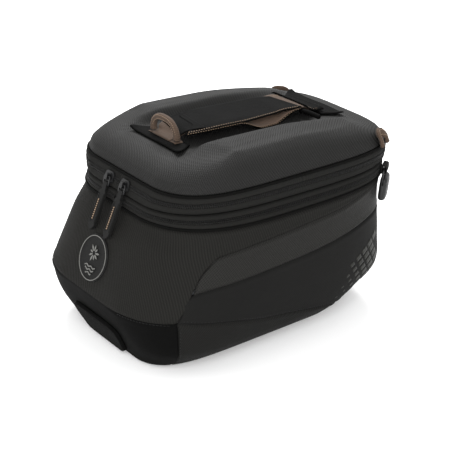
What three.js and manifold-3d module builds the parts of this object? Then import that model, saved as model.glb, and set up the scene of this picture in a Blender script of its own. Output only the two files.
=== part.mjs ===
// Motorcycle tank bag with a moulded hard lid, an expansion zip and a quick-lock ring in its base.
// Millimetres, +Z up. The bag stands on its base at z = 0, the rider's end faces -Y,
// the front of the tank is +Y and X runs across the bike.

import * as THREE from 'three';
import { mergeVertices } from 'three/addons/utils/BufferGeometryUtils.js';
import Module from 'manifold-3d';

const wasm = await Module();
wasm.setup();

// ---------- driving dimensions ----------

const GAP = 0.3;                  // clearance between touching pieces
const CENTRE_SHIFT = 17.72;       // moves the middle of the whole bag's length to y = 0

const BODY_TOP = 135.2;           // top edge of the side panels, under the expansion zip
const LID_LINE = 166.5;           // height of the piping between zip and lid
const WALL = 3.6;                 // padded side wall
const LID_WALL = 4;               // moulded foam lid
const LINING = 0.8;
const LINING_GAP = 2.4;

const RAMP = [[44, 0], [62, 7], [82, 15.5], [145, 23]];   // [y, rise]: the base climbs to clear the tank

// Outline of the bag at each height. The taper narrows it towards the front.
const OUTLINES = [
  { z: 0, halfWidth: 69.5, rear: -147.5, front: 112, squareness: 5, taper: -0.128 },
  { z: 9.5, halfWidth: 82.5, rear: -151.5, front: 122, squareness: 4.8, taper: -0.128 },
  { z: 26.7, halfWidth: 100, rear: -160, front: 127.5, squareness: 4.5, taper: -0.128 },
  { z: 53.9, halfWidth: 108.6, rear: -172.5, front: 131.6, squareness: 3.5, taper: -0.128 },
  { z: 68, halfWidth: 109.8, rear: -170.5, front: 133.5, squareness: 3.2, taper: -0.128 },
  { z: 112, halfWidth: 106.2, rear: -154, front: 134.8, squareness: 2.9, taper: -0.115 },
  { z: 136, halfWidth: 102.8, rear: -138, front: 132, squareness: 3.2, taper: -0.075 },
  { z: 148.8, halfWidth: 97.2, rear: -136.8, front: 133.4, squareness: 3.4, taper: -0.05 },
  { z: 166.5, halfWidth: 95.6, rear: -131.5, front: 130, squareness: 4.1, taper: -0.06 },
  { z: 177, halfWidth: 92.6, rear: -128.5, front: 127, squareness: 4.1, taper: -0.06 },
  { z: 188, halfWidth: 86, rear: -120, front: 116, squareness: 4.2, taper: -0.06 },
  { z: 195.5, halfWidth: 77, rear: -105, front: 96, squareness: 4.5, taper: -0.06 },
];
const REAR_FLAT = 1.8;            // the rider's end is flat across its middle
const CREST = 195.5;              // edge between the lid's flank and its top
const LID_BASE = 167.8;
const RAIL_RISE = 3;              // raised rails each side of the handle channel
const CHANNEL_FLOOR = 188;
const CHANNEL_LIP = 49;           // half width of the channel at its lip
const CHANNEL_FOOT = 42;
const CREST_DROP = 6.5;           // the crest sinks towards both ends
const CREST_DROP_FRONT = 92;
const CREST_DROP_REAR = -104;

// Seams on the long sides: [y, z] along the right side, mirrored on the left.
const LOWER_SEAM = [[-150, 59.5], [-140, 59.5], [-120, 56.5], [-90, 51.5], [-53, 42.5], [-17, 36], [13, 29.5],
  [56, 20.5], [88, 10]];
const FLASH_LOWER = [[-141, 60.5], [-135, 68.5], [-125, 82.5], [-90, 87.5], [-47, 90.5], [1, 92.5], [55, 96.5],
  [90, 99.5], [130, 100]];
const FLASH_UPPER = [[-150, 59.5], [-141, 60], [-125, 82.5], [-114, 98.5], [-104, 107.5], [-99, 111.5],
  [-76, 115.5], [-56, 117.5], [-10, 120.5], [41, 123.5], [70, 127.5], [100, 132.4], [102.6, 132.9], [104.5, 136]];
const RIDER_SEAM = 59.5;

const QUADRANT = [0, 12, 23, 32, 40, 48, 57, 67, 78];
const REAR_CORNER_SEAM = -40.5;    // degrees round the outline, right rear corner
const FLASH_REAR = -37;
const WRAP_END = 43;
const LOWER_SIDE_END = 26;
const FRONT_SEAM = 66;
const SEAM_TURN = 0.6;            // degrees of clearance across an upright seam

// zip bands, as [bottom, top] heights
const LOWER_PIPING = 136.7;
const EXPANSION_LOWER_TAPE = [138.1, 140.6];
const EXPANSION_LOWER_CHAIN = [140.9, 142.05];
const EXPANSION_UPPER_CHAIN = [143.55, 144.7];
const EXPANSION_UPPER_TAPE = [145, 147.6];
const MIDDLE_BINDING = [147.9, 149.9];
const MAIN_LOWER_TAPE = [150.2, 155.7];
const MAIN_LOWER_CHAIN = [156, 157.4];
const MAIN_UPPER_CHAIN = [158.6, 160];
const MAIN_UPPER_TAPE = [160.3, 165.1];
const TAPE_THICKNESS = 2;
const CHAIN_THICKNESS = 3;
const PIPING_RADIUS = 1.15;

const BADGE_RADIUS = 22;
const BADGE_HEIGHT = 90;
const BADGE_THICKNESS = 1.6;

const SLIDER_X = { left: -15, right: 11 };
const SLIDER = { length: 13, height: 10, plate: 1.5, web: 0.6 };
const CROWN = { length: 3.4, depth: 3.8, height: 6, floor: 0.4, roof: 0.8 };
const LINK = { inner: 7, width: 10.2, height: 9.6, bar: 1.6 };
const PULL = { width: 9.4, neck: 6.4, length: 43, thickness: 3, bore: 2.4, neckLength: 7, top: 2.6 };
const SMALL_PULL = { ...PULL, length: 24, top: 2.1 };
// Degrees off vertical as the link and the pull lie against the flared wall.
const MAIN_LEAN = { link: 15, pull: 24 };
const EXPANSION_LEAN = { link: 28, pull: 7 };
const HINGE = { y: 133.4, z: 160.15, from: 66, to: 114 };

const PATCH = { halfWidth: 40.5, neck: 30, length: 19, thickness: 1.6, bottom: 189.2 };
const PATCH_REAR = -96.5;
const PATCH_FRONT = 91.5;
const HANDLE_Z = 197.6;           // underside of the webbing where the hand goes
const WEBBING = { halfWidth: 23, thickness: 2 };
const SLEEVE = { halfWidth: 25, wall: 1.4, rear: -72.5, front: 44 };
const RIDER_LOOP = { x: 1, y: -84.5, halfSpan: 17, top: 208.5, radius: 3 };
const LOOP_BASE = { halfWidth: 13, thickness: 1.4 };
const FRONT_LOOP = { angle: 42, halfTurn: 6, top: 186.5, radius: 2.5, standOff: 3.5 };

// Heights are measured up the wall from the lower piping, depths out from the wall.
const BUCKLE = { angle: 48, width: 24, low: -25, high: 7, back: 2.3, thickness: 8, slot: 18, cavity: 5.9 };
const BUCKLE_BAR = [3.5, 5.5];
const TAB = { width: 15, wall: 1.2, low: 1.7, high: 10.6, inner: 1.3, outer: 7.6 };

const LOCK = { y: -40, outer: 58, inner: 43, height: 13.5, bottom: 0.6 };
const SCREW_CIRCLE = 50.5;
const SCREW = { shank: 1.8, head: 3.4, headHeight: 1.8, hole: 2.1 };
const TONGUE = { turn: 5.2, low: 4, high: 35, thickness: 3.2 };
const BAR = { halfWidth: 11, low: 6.2, high: 9.4, tip: -81 };
const LINING_FLOOR = 19.6;

// ---------- shape of the bag ----------

const mix = (a, b, k) => a + (b - a) * k;
const clamp = (v, low, high) => Math.min(high, Math.max(low, v));
const smooth = (v, low, high) => {
  const k = clamp((v - low) / (high - low), 0, 1);
  return k * k * (3 - 2 * k);
};
const radians = (degrees) => degrees * Math.PI / 180;

function alongLine(line, at) {
  if (at <= line[0][0]) return line[0][1];
  for (let i = 1; i < line.length; i += 1) {
    const [y0, z0] = line[i - 1];
    const [y1, z1] = line[i];
    if (at <= y1) return mix(z0, z1, (at - y0) / (y1 - y0));
  }
  return line[line.length - 1][1];
}

function outlineAt(z) {
  const last = OUTLINES.length - 1;
  if (z >= OUTLINES[last].z) return OUTLINES[last];
  const upper = Math.max(1, OUTLINES.findIndex((o) => o.z > z));
  const a = OUTLINES[upper - 1];
  const b = OUTLINES[upper];
  const k = (z - a.z) / (b.z - a.z);
  const blend = {};
  for (const key of Object.keys(a)) blend[key] = mix(a[key], b[key], k);
  return blend;
}

function ringPoint(outline, degrees, inset = 0) {
  const c = Math.cos(radians(degrees));
  const s = Math.sin(radians(degrees));
  const power = 2 / outline.squareness;
  const along = Math.sign(s) * Math.abs(s) ** power;
  const across = Math.sign(c) * Math.abs(c) ** power;
  const halfLength = (outline.front - outline.rear) / 2 - inset;
  const x = across * (outline.halfWidth * (1 + outline.taper * along) - inset);
  const y = (outline.front + outline.rear) / 2 + along * halfLength;
  return [x, Math.max(y, outline.rear + inset + REAR_FLAT)];
}

const rampAt = (y) => alongLine(RAMP, y);

function bodyPoint(degrees, level, inset = 0) {
  const [x, y] = ringPoint(outlineAt(level), degrees, inset);
  const lift = level < BODY_TOP ? rampAt(y) * (1 - level / BODY_TOP) : 0;
  return [x, y, level + lift];
}

// Level whose surface passes through height z, at this angle round the outline.
function levelForHeight(degrees, heightAt) {
  let level = 60;
  for (let i = 0; i < 12; i += 1) {
    const y = bodyPoint(degrees, level)[1];
    const lift = rampAt(y);
    level = clamp((heightAt(y) - lift) / (1 - lift / BODY_TOP), 0, BODY_TOP);
  }
  return level;
}

function crestDrop(y) {
  return CREST_DROP * (smooth(y, 0, CREST_DROP_FRONT) + smooth(y, -55, CREST_DROP_REAR));
}

// ---------- mesh building ----------

const parts = new THREE.Group();
parts.name = 'tank_bag';

function triangleGeometry(points, triangles) {
  const geometry = new THREE.BufferGeometry();
  geometry.setAttribute('position', new THREE.Float32BufferAttribute(points.flat(), 3));
  geometry.setIndex(triangles.flat());
  return geometry;
}

function addPart(name, geometry, colour, roughness = 0.8, metalness = 0) {
  const material = new THREE.MeshStandardMaterial({ color: colour, roughness, metalness });
  geometry.translate(0, CENTRE_SHIFT, 0);
  const mesh = new THREE.Mesh(geometry, material);
  mesh.name = name;
  parts.add(mesh);
  return mesh;
}

// Solid between an outer and an inner grid of points, grid[column][row].
// Columns go anticlockwise seen from above and rows go up.
function slab(outer, inner, closed = false) {
  const columns = outer.length;
  const rows = outer[0].length;
  const points = [];
  for (const grid of [outer, inner]) {
    for (const column of grid) points.push(...column);
  }
  const id = (side, i, j) => side * columns * rows + (i % columns) * rows + j;
  const triangles = [];
  const quad = (a, b, c, d) => triangles.push([a, b, c], [a, c, d]);
  const spans = closed ? columns : columns - 1;
  for (let i = 0; i < spans; i += 1) {
    for (let j = 0; j < rows - 1; j += 1) {
      quad(id(0, i, j), id(0, i + 1, j), id(0, i + 1, j + 1), id(0, i, j + 1));
      quad(id(1, i, j), id(1, i, j + 1), id(1, i + 1, j + 1), id(1, i + 1, j));
    }
    quad(id(0, i, 0), id(1, i, 0), id(1, i + 1, 0), id(0, i + 1, 0));
    quad(id(0, i, rows - 1), id(0, i + 1, rows - 1), id(1, i + 1, rows - 1), id(1, i, rows - 1));
  }
  if (!closed) {
    for (let j = 0; j < rows - 1; j += 1) {
      quad(id(0, 0, j), id(0, 0, j + 1), id(1, 0, j + 1), id(1, 0, j));
      const end = columns - 1;
      quad(id(0, end, j), id(1, end, j), id(1, end, j + 1), id(0, end, j + 1));
    }
  }
  return triangleGeometry(points, triangles);
}

function roundAngles() {
  const all = [];
  for (const start of [0, 90, 180, 270]) {
    const swapped = QUADRANT.map((a) => (a === 0 ? 0 : 90 - a)).sort((a, b) => a - b);
    const steps = start % 180 === 0 ? QUADRANT : swapped;
    for (const step of steps) all.push(start + step);
  }
  return all;
}
const RING = roundAngles();

// Every panel has its corners at the same angles, so neighbours meet edge to edge.
const SEAM_ANGLES = [REAR_CORNER_SEAM, REAR_CORNER_SEAM + SEAM_TURN, FLASH_REAR + SEAM_TURN, -34.5,
  LOWER_SIDE_END, WRAP_END, FRONT_SEAM];
const PANEL_ANGLES = [...RING, ...SEAM_ANGLES, ...SEAM_ANGLES.map((a) => 180 - a)];

function anglesBetween(from, to) {
  const all = [from, to];
  for (const turn of [-360, 0, 360]) {
    for (const angle of PANEL_ANGLES) {
      const a = angle + turn;
      if (a > from + 0.1 && a < to - 0.1) all.push(a);
    }
  }
  return all.sort((a, b) => a - b);
}

function panel(from, to, lowAt, highAt, rows, wall = WALL, outset = 0) {
  const angles = anglesBetween(from, to);
  const grids = [-outset, wall - outset].map((inset) => angles.map((angle) => {
    const low = levelForHeight(angle, lowAt);
    const high = Math.max(low + 0.8, levelForHeight(angle, highAt));
    return Array.from({ length: rows + 1 }, (_, j) => bodyPoint(angle, mix(low, high, j / rows), inset));
  }));
  return slab(grids[0], grids[1]);
}

function band([low, high], outset, thickness) {
  const grids = [-outset, thickness - outset].map((inset) => RING.map((angle) => [
    bodyPoint(angle, low, inset),
    bodyPoint(angle, high, inset),
  ]));
  return slab(grids[0], grids[1], true);
}

function pipingRing(level, outset, radius) {
  const sides = 6;
  const points = [];
  const triangles = [];
  for (const angle of RING) {
    for (let j = 0; j < sides; j += 1) {
      const turn = (j / sides) * 2 * Math.PI;
      points.push(bodyPoint(angle, level + radius * Math.sin(turn), -outset - radius * Math.cos(turn)));
    }
  }
  const id = (i, j) => (i % RING.length) * sides + (j % sides);
  for (let i = 0; i < RING.length; i += 1) {
    for (let j = 0; j < sides; j += 1) {
      triangles.push([id(i, j), id(i + 1, j), id(i + 1, j + 1)], [id(i, j), id(i + 1, j + 1), id(i, j + 1)]);
    }
  }
  return triangleGeometry(points, triangles);
}

// Closed solid from rings stacked from the outside bottom, over the top and down the inside.
// Top and underside close with a strip from right to left.
function dome(outerRings, innerRings) {
  const count = RING.length;
  const rings = [...outerRings, ...innerRings];
  const points = rings.flat();
  const triangles = [];
  const id = (ring, i) => ring * count + (i % count);
  const join = (lower, upper, flip) => {
    for (let i = 0; i < count; i += 1) {
      const a = id(lower, i);
      const b = id(lower, i + 1);
      const c = id(upper, i + 1);
      const d = id(upper, i);
      if (flip) triangles.push([a, c, b], [a, d, c]);
      else triangles.push([a, b, c], [a, c, d]);
    }
  };
  const cap = (ring, up) => {
    const half = count / 2;
    const quarter = count / 4;
    for (let i = 0; i < half; i += 1) {
      const right = (k) => id(ring, (k - quarter + count) % count);
      const left = (k) => id(ring, (count + half + quarter - k) % count);
      const corners = [right(i), right(i + 1), left(i + 1), left(i)];
      const faces = [[corners[0], corners[1], corners[2]], [corners[0], corners[2], corners[3]]];
      for (const face of faces) {
        if (new Set(face).size < 3) continue;
        triangles.push(up ? face : [face[0], face[2], face[1]]);
      }
    }
  };
  for (let r = 0; r < outerRings.length - 1; r += 1) join(r, r + 1, false);
  cap(outerRings.length - 1, true);
  const first = outerRings.length;
  for (let r = first; r < rings.length - 1; r += 1) join(r, r + 1, true);
  cap(rings.length - 1, false);
  join(0, first, true);
  return triangleGeometry(points, triangles);
}

// Straight solid with a flat outline in local X-Y, extruded along local Z, centred on its depth.
function plate(outline, depth, holes = []) {
  const shape = new THREE.Shape(outline.map(([x, y]) => new THREE.Vector2(x, y)));
  for (const hole of holes) shape.holes.push(new THREE.Path(hole.map(([x, y]) => new THREE.Vector2(x, y))));
  const geometry = new THREE.ExtrudeGeometry(shape, { depth, bevelEnabled: false, steps: 1 });
  return geometry.translate(0, 0, -depth / 2);
}

function rectangle(width, height, chamfer = 0, x = 0, y = 0) {
  const w = width / 2;
  const h = height / 2;
  const k = chamfer;
  if (k === 0) return [[x - w, y - h], [x + w, y - h], [x + w, y + h], [x - w, y + h]];
  return [[x - w + k, y - h], [x + w - k, y - h], [x + w, y - h + k], [x + w, y + h - k],
    [x + w - k, y + h], [x - w + k, y + h], [x - w, y + h - k], [x - w, y - h + k]];
}

function circle(radius, count, x = 0, y = 0) {
  return Array.from({ length: count }, (_, i) => {
    const turn = (i / count) * 2 * Math.PI;
    return [x + radius * Math.cos(turn), y + radius * Math.sin(turn)];
  });
}

// Places local X, Y and Z along the given directions at a point.
function place(geometry, origin, xAxis, yAxis) {
  const x = new THREE.Vector3(...xAxis).normalize();
  const y = new THREE.Vector3(...yAxis).normalize();
  const z = new THREE.Vector3().crossVectors(x, y).normalize();
  y.crossVectors(z, x);
  const matrix = new THREE.Matrix4().makeBasis(x, y, z).setPosition(...origin);
  return geometry.applyMatrix4(matrix);
}

const box = (low, high) => {
  const size = high.map((v, i) => v - low[i]);
  const geometry = new THREE.BoxGeometry(...size);
  return geometry.translate(...low.map((v, i) => v + size[i] / 2));
};

function toManifold(geometry) {
  const bare = geometry.clone();
  bare.deleteAttribute('normal');
  bare.deleteAttribute('uv');
  const merged = mergeVertices(bare, 1e-4);
  return new wasm.Manifold(new wasm.Mesh({
    numProp: 3,
    vertProperties: new Float32Array(merged.attributes.position.array),
    triVerts: new Uint32Array(merged.index.array),
  }));
}

function fromManifold(solid) {
  const mesh = solid.getMesh();
  const geometry = new THREE.BufferGeometry();
  geometry.setAttribute('position', new THREE.BufferAttribute(new Float32Array(mesh.vertProperties), 3));
  geometry.setIndex(Array.from(mesh.triVerts));
  return geometry;
}

function cut(geometry, ...cutters) {
  let solid = toManifold(geometry);
  for (const cutter of cutters) solid = solid.subtract(toManifold(cutter));
  return fromManifold(solid);
}

function unite(...geometries) {
  return fromManifold(geometries.map(toManifold).reduce((sum, next) => sum.add(next)));
}

// Bar of hexagonal section bent along a smooth curve.
function bentBar(pathPoints, radius, steps, sides = 6, flatten = 1) {
  const curve = new THREE.CatmullRomCurve3(pathPoints.map((p) => new THREE.Vector3(...p)));
  const ring = circle(radius, sides).map(([x, y]) => new THREE.Vector2(x, y * flatten));
  return new THREE.ExtrudeGeometry(new THREE.Shape(ring), { steps, extrudePath: curve, bevelEnabled: false });
}

// Flat ribbon: section [yLow..] stations as [y, bottom], with constant width and thickness.
function ribbon(stations, halfWidth, thickness) {
  const outer = stations.map(([y, z]) => [[halfWidth, y, z], [halfWidth, y, z + thickness]]);
  const inner = stations.map(([y, z]) => [[-halfWidth, y, z], [-halfWidth, y, z + thickness]]);
  return slab(outer, inner);
}

// ---------- colours ----------

const FABRIC = 0x232325;
const FLASH_FABRIC = 0x2b2b2e;
const SMOOTH_FABRIC = 0x1b1b1d;
const TRIM = 0x161617;
const TAPE = 0x1d1d1f;
const BEIGE = 0x97806f;
const PLASTIC = 0x121214;
const LINING_GREY = 0x5a5c60;

// ---------- body panels ----------

const baseAt = (y) => rampAt(y);
const lowerSeam = (y) => alongLine(LOWER_SEAM, y);
const flashLower = (y) => alongLine(FLASH_LOWER, y);
const flashUpper = (y) => alongLine(FLASH_UPPER, y);
const topEdge = () => BODY_TOP;
const raised = (line, by) => (y) => line(y) + by;

const SLOT = { halfWidth: BAR.halfWidth + 0.4, low: BAR.low - 0.4, high: BAR.high + 0.4 };
const slotCutter = () => box([-SLOT.halfWidth, -175, SLOT.low], [SLOT.halfWidth, -120, SLOT.high]);

addPart('rider_wrap_panel',
  panel(-180 - WRAP_END, WRAP_END, raised(flashUpper, GAP / 2), topEdge, 3), FABRIC);
addPart('rider_lower_panel', cut(
  panel(-180 - REAR_CORNER_SEAM, REAR_CORNER_SEAM, raised(baseAt, 1), () => RIDER_SEAM - GAP, 3),
  slotCutter(),
), SMOOTH_FABRIC);
addPart('front_panel',
  panel(FRONT_SEAM + SEAM_TURN, 180 - FRONT_SEAM - SEAM_TURN, raised(baseAt, 1), topEdge, 5), FABRIC);

const SIDES = [['right', (a, b) => [a, b]], ['left', (a, b) => [180 - b, 180 - a]]];
for (const [side, span] of SIDES) {
  const flashSpan = span(FLASH_REAR + SEAM_TURN, FRONT_SEAM);
  addPart(`side_flash_${side}`,
    panel(...flashSpan, raised(flashLower, GAP / 2), raised(flashUpper, -GAP / 2), 2), FLASH_FABRIC);
  const sideSpan = span(REAR_CORNER_SEAM + SEAM_TURN, FRONT_SEAM);
  const aboveSeam = (y) => Math.max(lowerSeam(y) + GAP / 2, rampAt(y) + 2.2);
  addPart(`side_panel_${side}`, panel(...sideSpan, aboveSeam, raised(flashLower, -GAP / 2), 4), SMOOTH_FABRIC);
  const lowerSpan = span(REAR_CORNER_SEAM + SEAM_TURN, LOWER_SIDE_END);
  const belowSeam = (y) => Math.max(lowerSeam(y) - GAP / 2, rampAt(y) + 1.8);
  addPart(`lower_side_${side}`, panel(...lowerSpan, raised(baseAt, 1), belowSeam, 3), FABRIC);
}


// ---------- base and quick-lock ----------

function levelOutline(level, inset) {
  return RING.map((angle) => bodyPoint(angle, level, inset).slice(0, 2));
}

// Flat board that follows the base, flat under the bag and rising under its front.
function baseSheet(level, inset, low, thickness, holeRadius) {
  const prism = plate(levelOutline(level, inset), 120);
  const underside = [[-180, low], ...RAMP.map(([y, rise]) => [y, low + rise])];
  const run = [...underside, ...underside.map(([y, z]) => [y, z + thickness]).reverse()];
  const profile = place(plate(run, 400), [0, 0, 0], [0, 1, 0], [0, 0, 1]);
  const solid = toManifold(prism).intersect(toManifold(profile));
  const hole = toManifold(plate(circle(holeRadius, 40, 0, LOCK.y), 60));
  return fromManifold(solid.subtract(hole));
}

addPart('base_panel', baseSheet(1, WALL + GAP, 0, 2.6, LOCK.outer + GAP), TRIM);
addPart('base_board', baseSheet(2, WALL + 1.6, 3, 1.8, LOCK.outer + GAP), LINING_GREY);

const screwSpots = [45, 135, 225, 315].map((turn) => [
  SCREW_CIRCLE * Math.cos(radians(turn)),
  LOCK.y + SCREW_CIRCLE * Math.sin(radians(turn)),
]);
const lockTop = LOCK.bottom + LOCK.height;
const coverLow = lockTop + GAP;
const coverHigh = coverLow + 2;
const holeCutters = () => screwSpots.map(([x, y]) => (
  plate(circle(SCREW.hole, 12, x, y), 20).translate(0, 0, lockTop + 3)));

const housing = plate(circle(LOCK.outer, 40, 0, LOCK.y), LOCK.height, [circle(LOCK.inner, 32, 0, LOCK.y)]);
addPart('lock_housing', cut(
  housing.translate(0, 0, LOCK.bottom + LOCK.height / 2),
  box([-SLOT.halfWidth, LOCK.y - LOCK.outer - 5, SLOT.low],
    [SLOT.halfWidth, LOCK.y - LOCK.inner + 8, SLOT.high]),
  ...holeCutters(),
), PLASTIC, 0.5);
addPart('lock_cover', cut(
  plate(circle(LOCK.outer + 1, 40, 0, LOCK.y), coverHigh - coverLow)
    .translate(0, 0, (coverLow + coverHigh) / 2),
  ...holeCutters(),
), PLASTIC, 0.5);
screwSpots.forEach(([x, y], i) => {
  const headLow = coverHigh + GAP;
  const headHigh = headLow + SCREW.headHeight;
  const tip = lockTop - 6;
  const profile = [[0, tip], [SCREW.shank, tip], [SCREW.shank, headLow], [SCREW.head, headLow],
    [SCREW.head, headHigh], [0, headHigh]].map(([r, h]) => new THREE.Vector2(r, h));
  const screw = new THREE.LatheGeometry(profile, 12).rotateX(Math.PI / 2);
  addPart(`lock_screw_${i + 1}`, screw.translate(x, y, 0), 0x8a8c90, 0.4, 1);
});

addPart('release_tongue',
  panel(-90 - TONGUE.turn, -90 + TONGUE.turn, () => TONGUE.low, () => TONGUE.high, 4,
    TONGUE.thickness, TONGUE.thickness + 0.5), PLASTIC, 0.45);
const tongueBack = bodyPoint(-90, BAR.low - 0.3, -0.5)[1];
const bar = box([-BAR.halfWidth, tongueBack + 0.1, BAR.low], [BAR.halfWidth, BAR.tip, BAR.high]);
addPart('release_bar', bar, PLASTIC, 0.45);

// ---------- lining ----------

const liningInset = WALL + LINING_GAP;
const liningLevels = [134.4, 112, 90, 68, 54, 34, LINING_FLOOR];
const liningRings = (inset, lift) => liningLevels.map((level, i) => {
  const last = i === liningLevels.length - 1;
  const ease = level < 60 ? 2.2 : 0;
  return RING.map((angle) => bodyPoint(angle, level + (last ? lift : 0), inset + ease));
});

function flipped(geometry) {
  const index = Array.from(geometry.index.array);
  for (let i = 0; i < index.length; i += 3) [index[i + 1], index[i + 2]] = [index[i + 2], index[i + 1]];
  geometry.setIndex(index);
  return geometry;
}

addPart('compartment_lining',
  flipped(dome(liningRings(liningInset, 0), liningRings(liningInset + LINING, LINING))), LINING_GREY);

// ---------- zips and piping ----------

function arcBand(from, to, [low, high], outset, thickness) {
  const angles = [from, ...[-360, 0, 360].flatMap((turn) => RING.map((a) => a + turn))
    .filter((a) => a > from + 1 && a < to - 1).sort((a, b) => a - b), to];
  const grids = [-outset, thickness - outset].map((inset) => angles.map((angle) => [
    bodyPoint(angle, low, inset),
    bodyPoint(angle, high, inset),
  ]));
  return slab(grids[0], grids[1]);
}

const CHAIN_OUT = 0.6;
const zipSpan = [HINGE.to - 360 + 1, HINGE.from - 1];
addPart('lower_piping', pipingRing(LOWER_PIPING, 0.5, PIPING_RADIUS), TRIM);
addPart('expansion_lower_tape', band(EXPANSION_LOWER_TAPE, 0, TAPE_THICKNESS), TAPE);
addPart('expansion_lower_chain', band(EXPANSION_LOWER_CHAIN, CHAIN_OUT, CHAIN_THICKNESS), PLASTIC, 0.5);
addPart('expansion_upper_chain', band(EXPANSION_UPPER_CHAIN, CHAIN_OUT, CHAIN_THICKNESS), PLASTIC, 0.5);
addPart('expansion_upper_tape', band(EXPANSION_UPPER_TAPE, 0, TAPE_THICKNESS), TAPE);
addPart('expansion_gusset', band([135.6, 147.4], -5.2, 1.2), FABRIC);
addPart('middle_binding', band(MIDDLE_BINDING, -0.6, 3), TRIM);
addPart('main_lower_tape', band(MAIN_LOWER_TAPE, 0, TAPE_THICKNESS), TAPE);
addPart('main_lower_chain', arcBand(...zipSpan, MAIN_LOWER_CHAIN, CHAIN_OUT, CHAIN_THICKNESS), PLASTIC, 0.5);
addPart('main_upper_chain', arcBand(...zipSpan, MAIN_UPPER_CHAIN, CHAIN_OUT, CHAIN_THICKNESS), PLASTIC, 0.5);
addPart('main_upper_tape', band(MAIN_UPPER_TAPE, 0, TAPE_THICKNESS), TAPE);
const hingeBand = [MAIN_LOWER_TAPE[1] + GAP, HINGE.z - 0.25];
addPart('hinge_strip', arcBand(HINGE.from, HINGE.to, hingeBand, 0, TAPE_THICKNESS), FABRIC);
addPart('upper_piping', pipingRing(LID_LINE, 0.3, PIPING_RADIUS - 0.05), TRIM);

// ---------- lid ----------

function lidPoint(degrees, level, inset = 0) {
  const [x, y] = ringPoint(outlineAt(level), degrees, inset);
  const share = clamp((level - LID_LINE) / (CREST - LID_LINE), 0, 1);
  return [x, y, level - crestDrop(y) * share * share];
}

const TOP_RINGS = [
  { halfWidth: 67, rear: -102, front: 93.5, squareness: 4.8, taper: -0.05, rise: 0.8 },
  { halfWidth: CHANNEL_LIP, rear: -100, front: 92.5, squareness: 6, taper: 0, rise: 1 },
  { halfWidth: CHANNEL_FOOT, rear: -98.5, front: 92, squareness: 7, taper: 0, rise: 0 },
  { halfWidth: 20, rear: -92, front: 86, squareness: 4, taper: 0, rise: 0 },
];

function topPoint(ring, degrees, drop = 0) {
  const [x, y] = ringPoint(ring, degrees);
  const crest = CREST - crestDrop(y) + RAIL_RISE * ring.rise;
  const side = ring.rise > 0 ? smooth(Math.abs(x), 38, 50) : 0;
  return [x, y, mix(CHANNEL_FLOOR, crest, side) - drop];
}

const LID_LEVELS = [LID_BASE, 177, 188, CREST];
const lidOuter = [
  ...LID_LEVELS.map((level) => RING.map((angle) => lidPoint(angle, level))),
  ...TOP_RINGS.map((ring) => RING.map((angle) => topPoint(ring, angle))),
];
const lidInner = [
  ...LID_LEVELS.map((level, i) => RING.map((angle) => {
    const [x, y, z] = lidPoint(angle, level, LID_WALL);
    return [x, y, z - [0, 0.5, 1.5, 3][i]];
  })),
  ...TOP_RINGS.map((ring) => RING.map((angle) => topPoint(ring, angle, LID_WALL))),
];
addPart('lid_shell', dome(lidOuter, lidInner), 0x2c2d30, 0.7);

const LINING_TOP = { halfWidth: 76, rear: -106, front: 102, squareness: 4, taper: -0.05 };
const lidLiningRings = (shrink, drop) => [
  RING.map((angle) => lidPoint(angle, LID_BASE, LID_WALL + LINING_GAP + shrink)),
  RING.map((angle) => lidPoint(angle, 176, LID_WALL + LINING_GAP + 0.6 + shrink)),
  RING.map((angle) => {
    const [x, y] = ringPoint(LINING_TOP, angle, shrink);
    return [x, y, CHANNEL_FLOOR - LID_WALL - LINING_GAP - drop];
  }),
];
addPart('lid_lining', dome(lidLiningRings(0, 0), lidLiningRings(LINING, LINING)), LINING_GREY);
addPart('lid_mesh_panel', plate(levelOutline(LID_LINE + 2, LID_WALL + LINING_GAP + LINING + 0.9), 0.9)
  .translate(0, 0, LID_LINE + 3), 0x3a3b3e);
addPart('lid_pocket_zip', box([-58, -84, LID_LINE + 0.9], [58, -76, LID_LINE + 2.3]), TAPE);

// ---------- handle and loops ----------

const patchOutline = [[-PATCH.halfWidth, 0], [PATCH.halfWidth, 0], [PATCH.halfWidth, 3],
  [PATCH.neck, PATCH.length], [-PATCH.neck, PATCH.length], [-PATCH.halfWidth, 3]];
const patchMiddle = PATCH.bottom + PATCH.thickness / 2;
addPart('patch_rider', plate(patchOutline, PATCH.thickness).translate(0, PATCH_REAR, patchMiddle), TRIM);
const frontPatch = plate(patchOutline, PATCH.thickness);
addPart('patch_front', place(frontPatch, [0, PATCH_FRONT, patchMiddle], [-1, 0, 0], [0, -1, 0]), TRIM);

const onPatch = PATCH.bottom + PATCH.thickness + GAP;
addPart('handle_webbing', ribbon([[-80, onPatch], [-77.8, onPatch], [SLEEVE.rear - 0.5, HANDLE_Z],
  [SLEEVE.front + 3, HANDLE_Z], [62, onPatch], [76, onPatch]], WEBBING.halfWidth, WEBBING.thickness), BEIGE);
const sleeveLow = HANDLE_Z - GAP - SLEEVE.wall;
const sleeveHigh = HANDLE_Z + WEBBING.thickness + GAP + SLEEVE.wall;
addPart('handle_sleeve', cut(
  box([-SLEEVE.halfWidth, SLEEVE.rear, sleeveLow], [SLEEVE.halfWidth, SLEEVE.front, sleeveHigh]),
  box([-SLEEVE.halfWidth + SLEEVE.wall, SLEEVE.rear - 5, sleeveLow + SLEEVE.wall],
    [SLEEVE.halfWidth - SLEEVE.wall, SLEEVE.front + 5, sleeveHigh - SLEEVE.wall]),
), TRIM);

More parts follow.
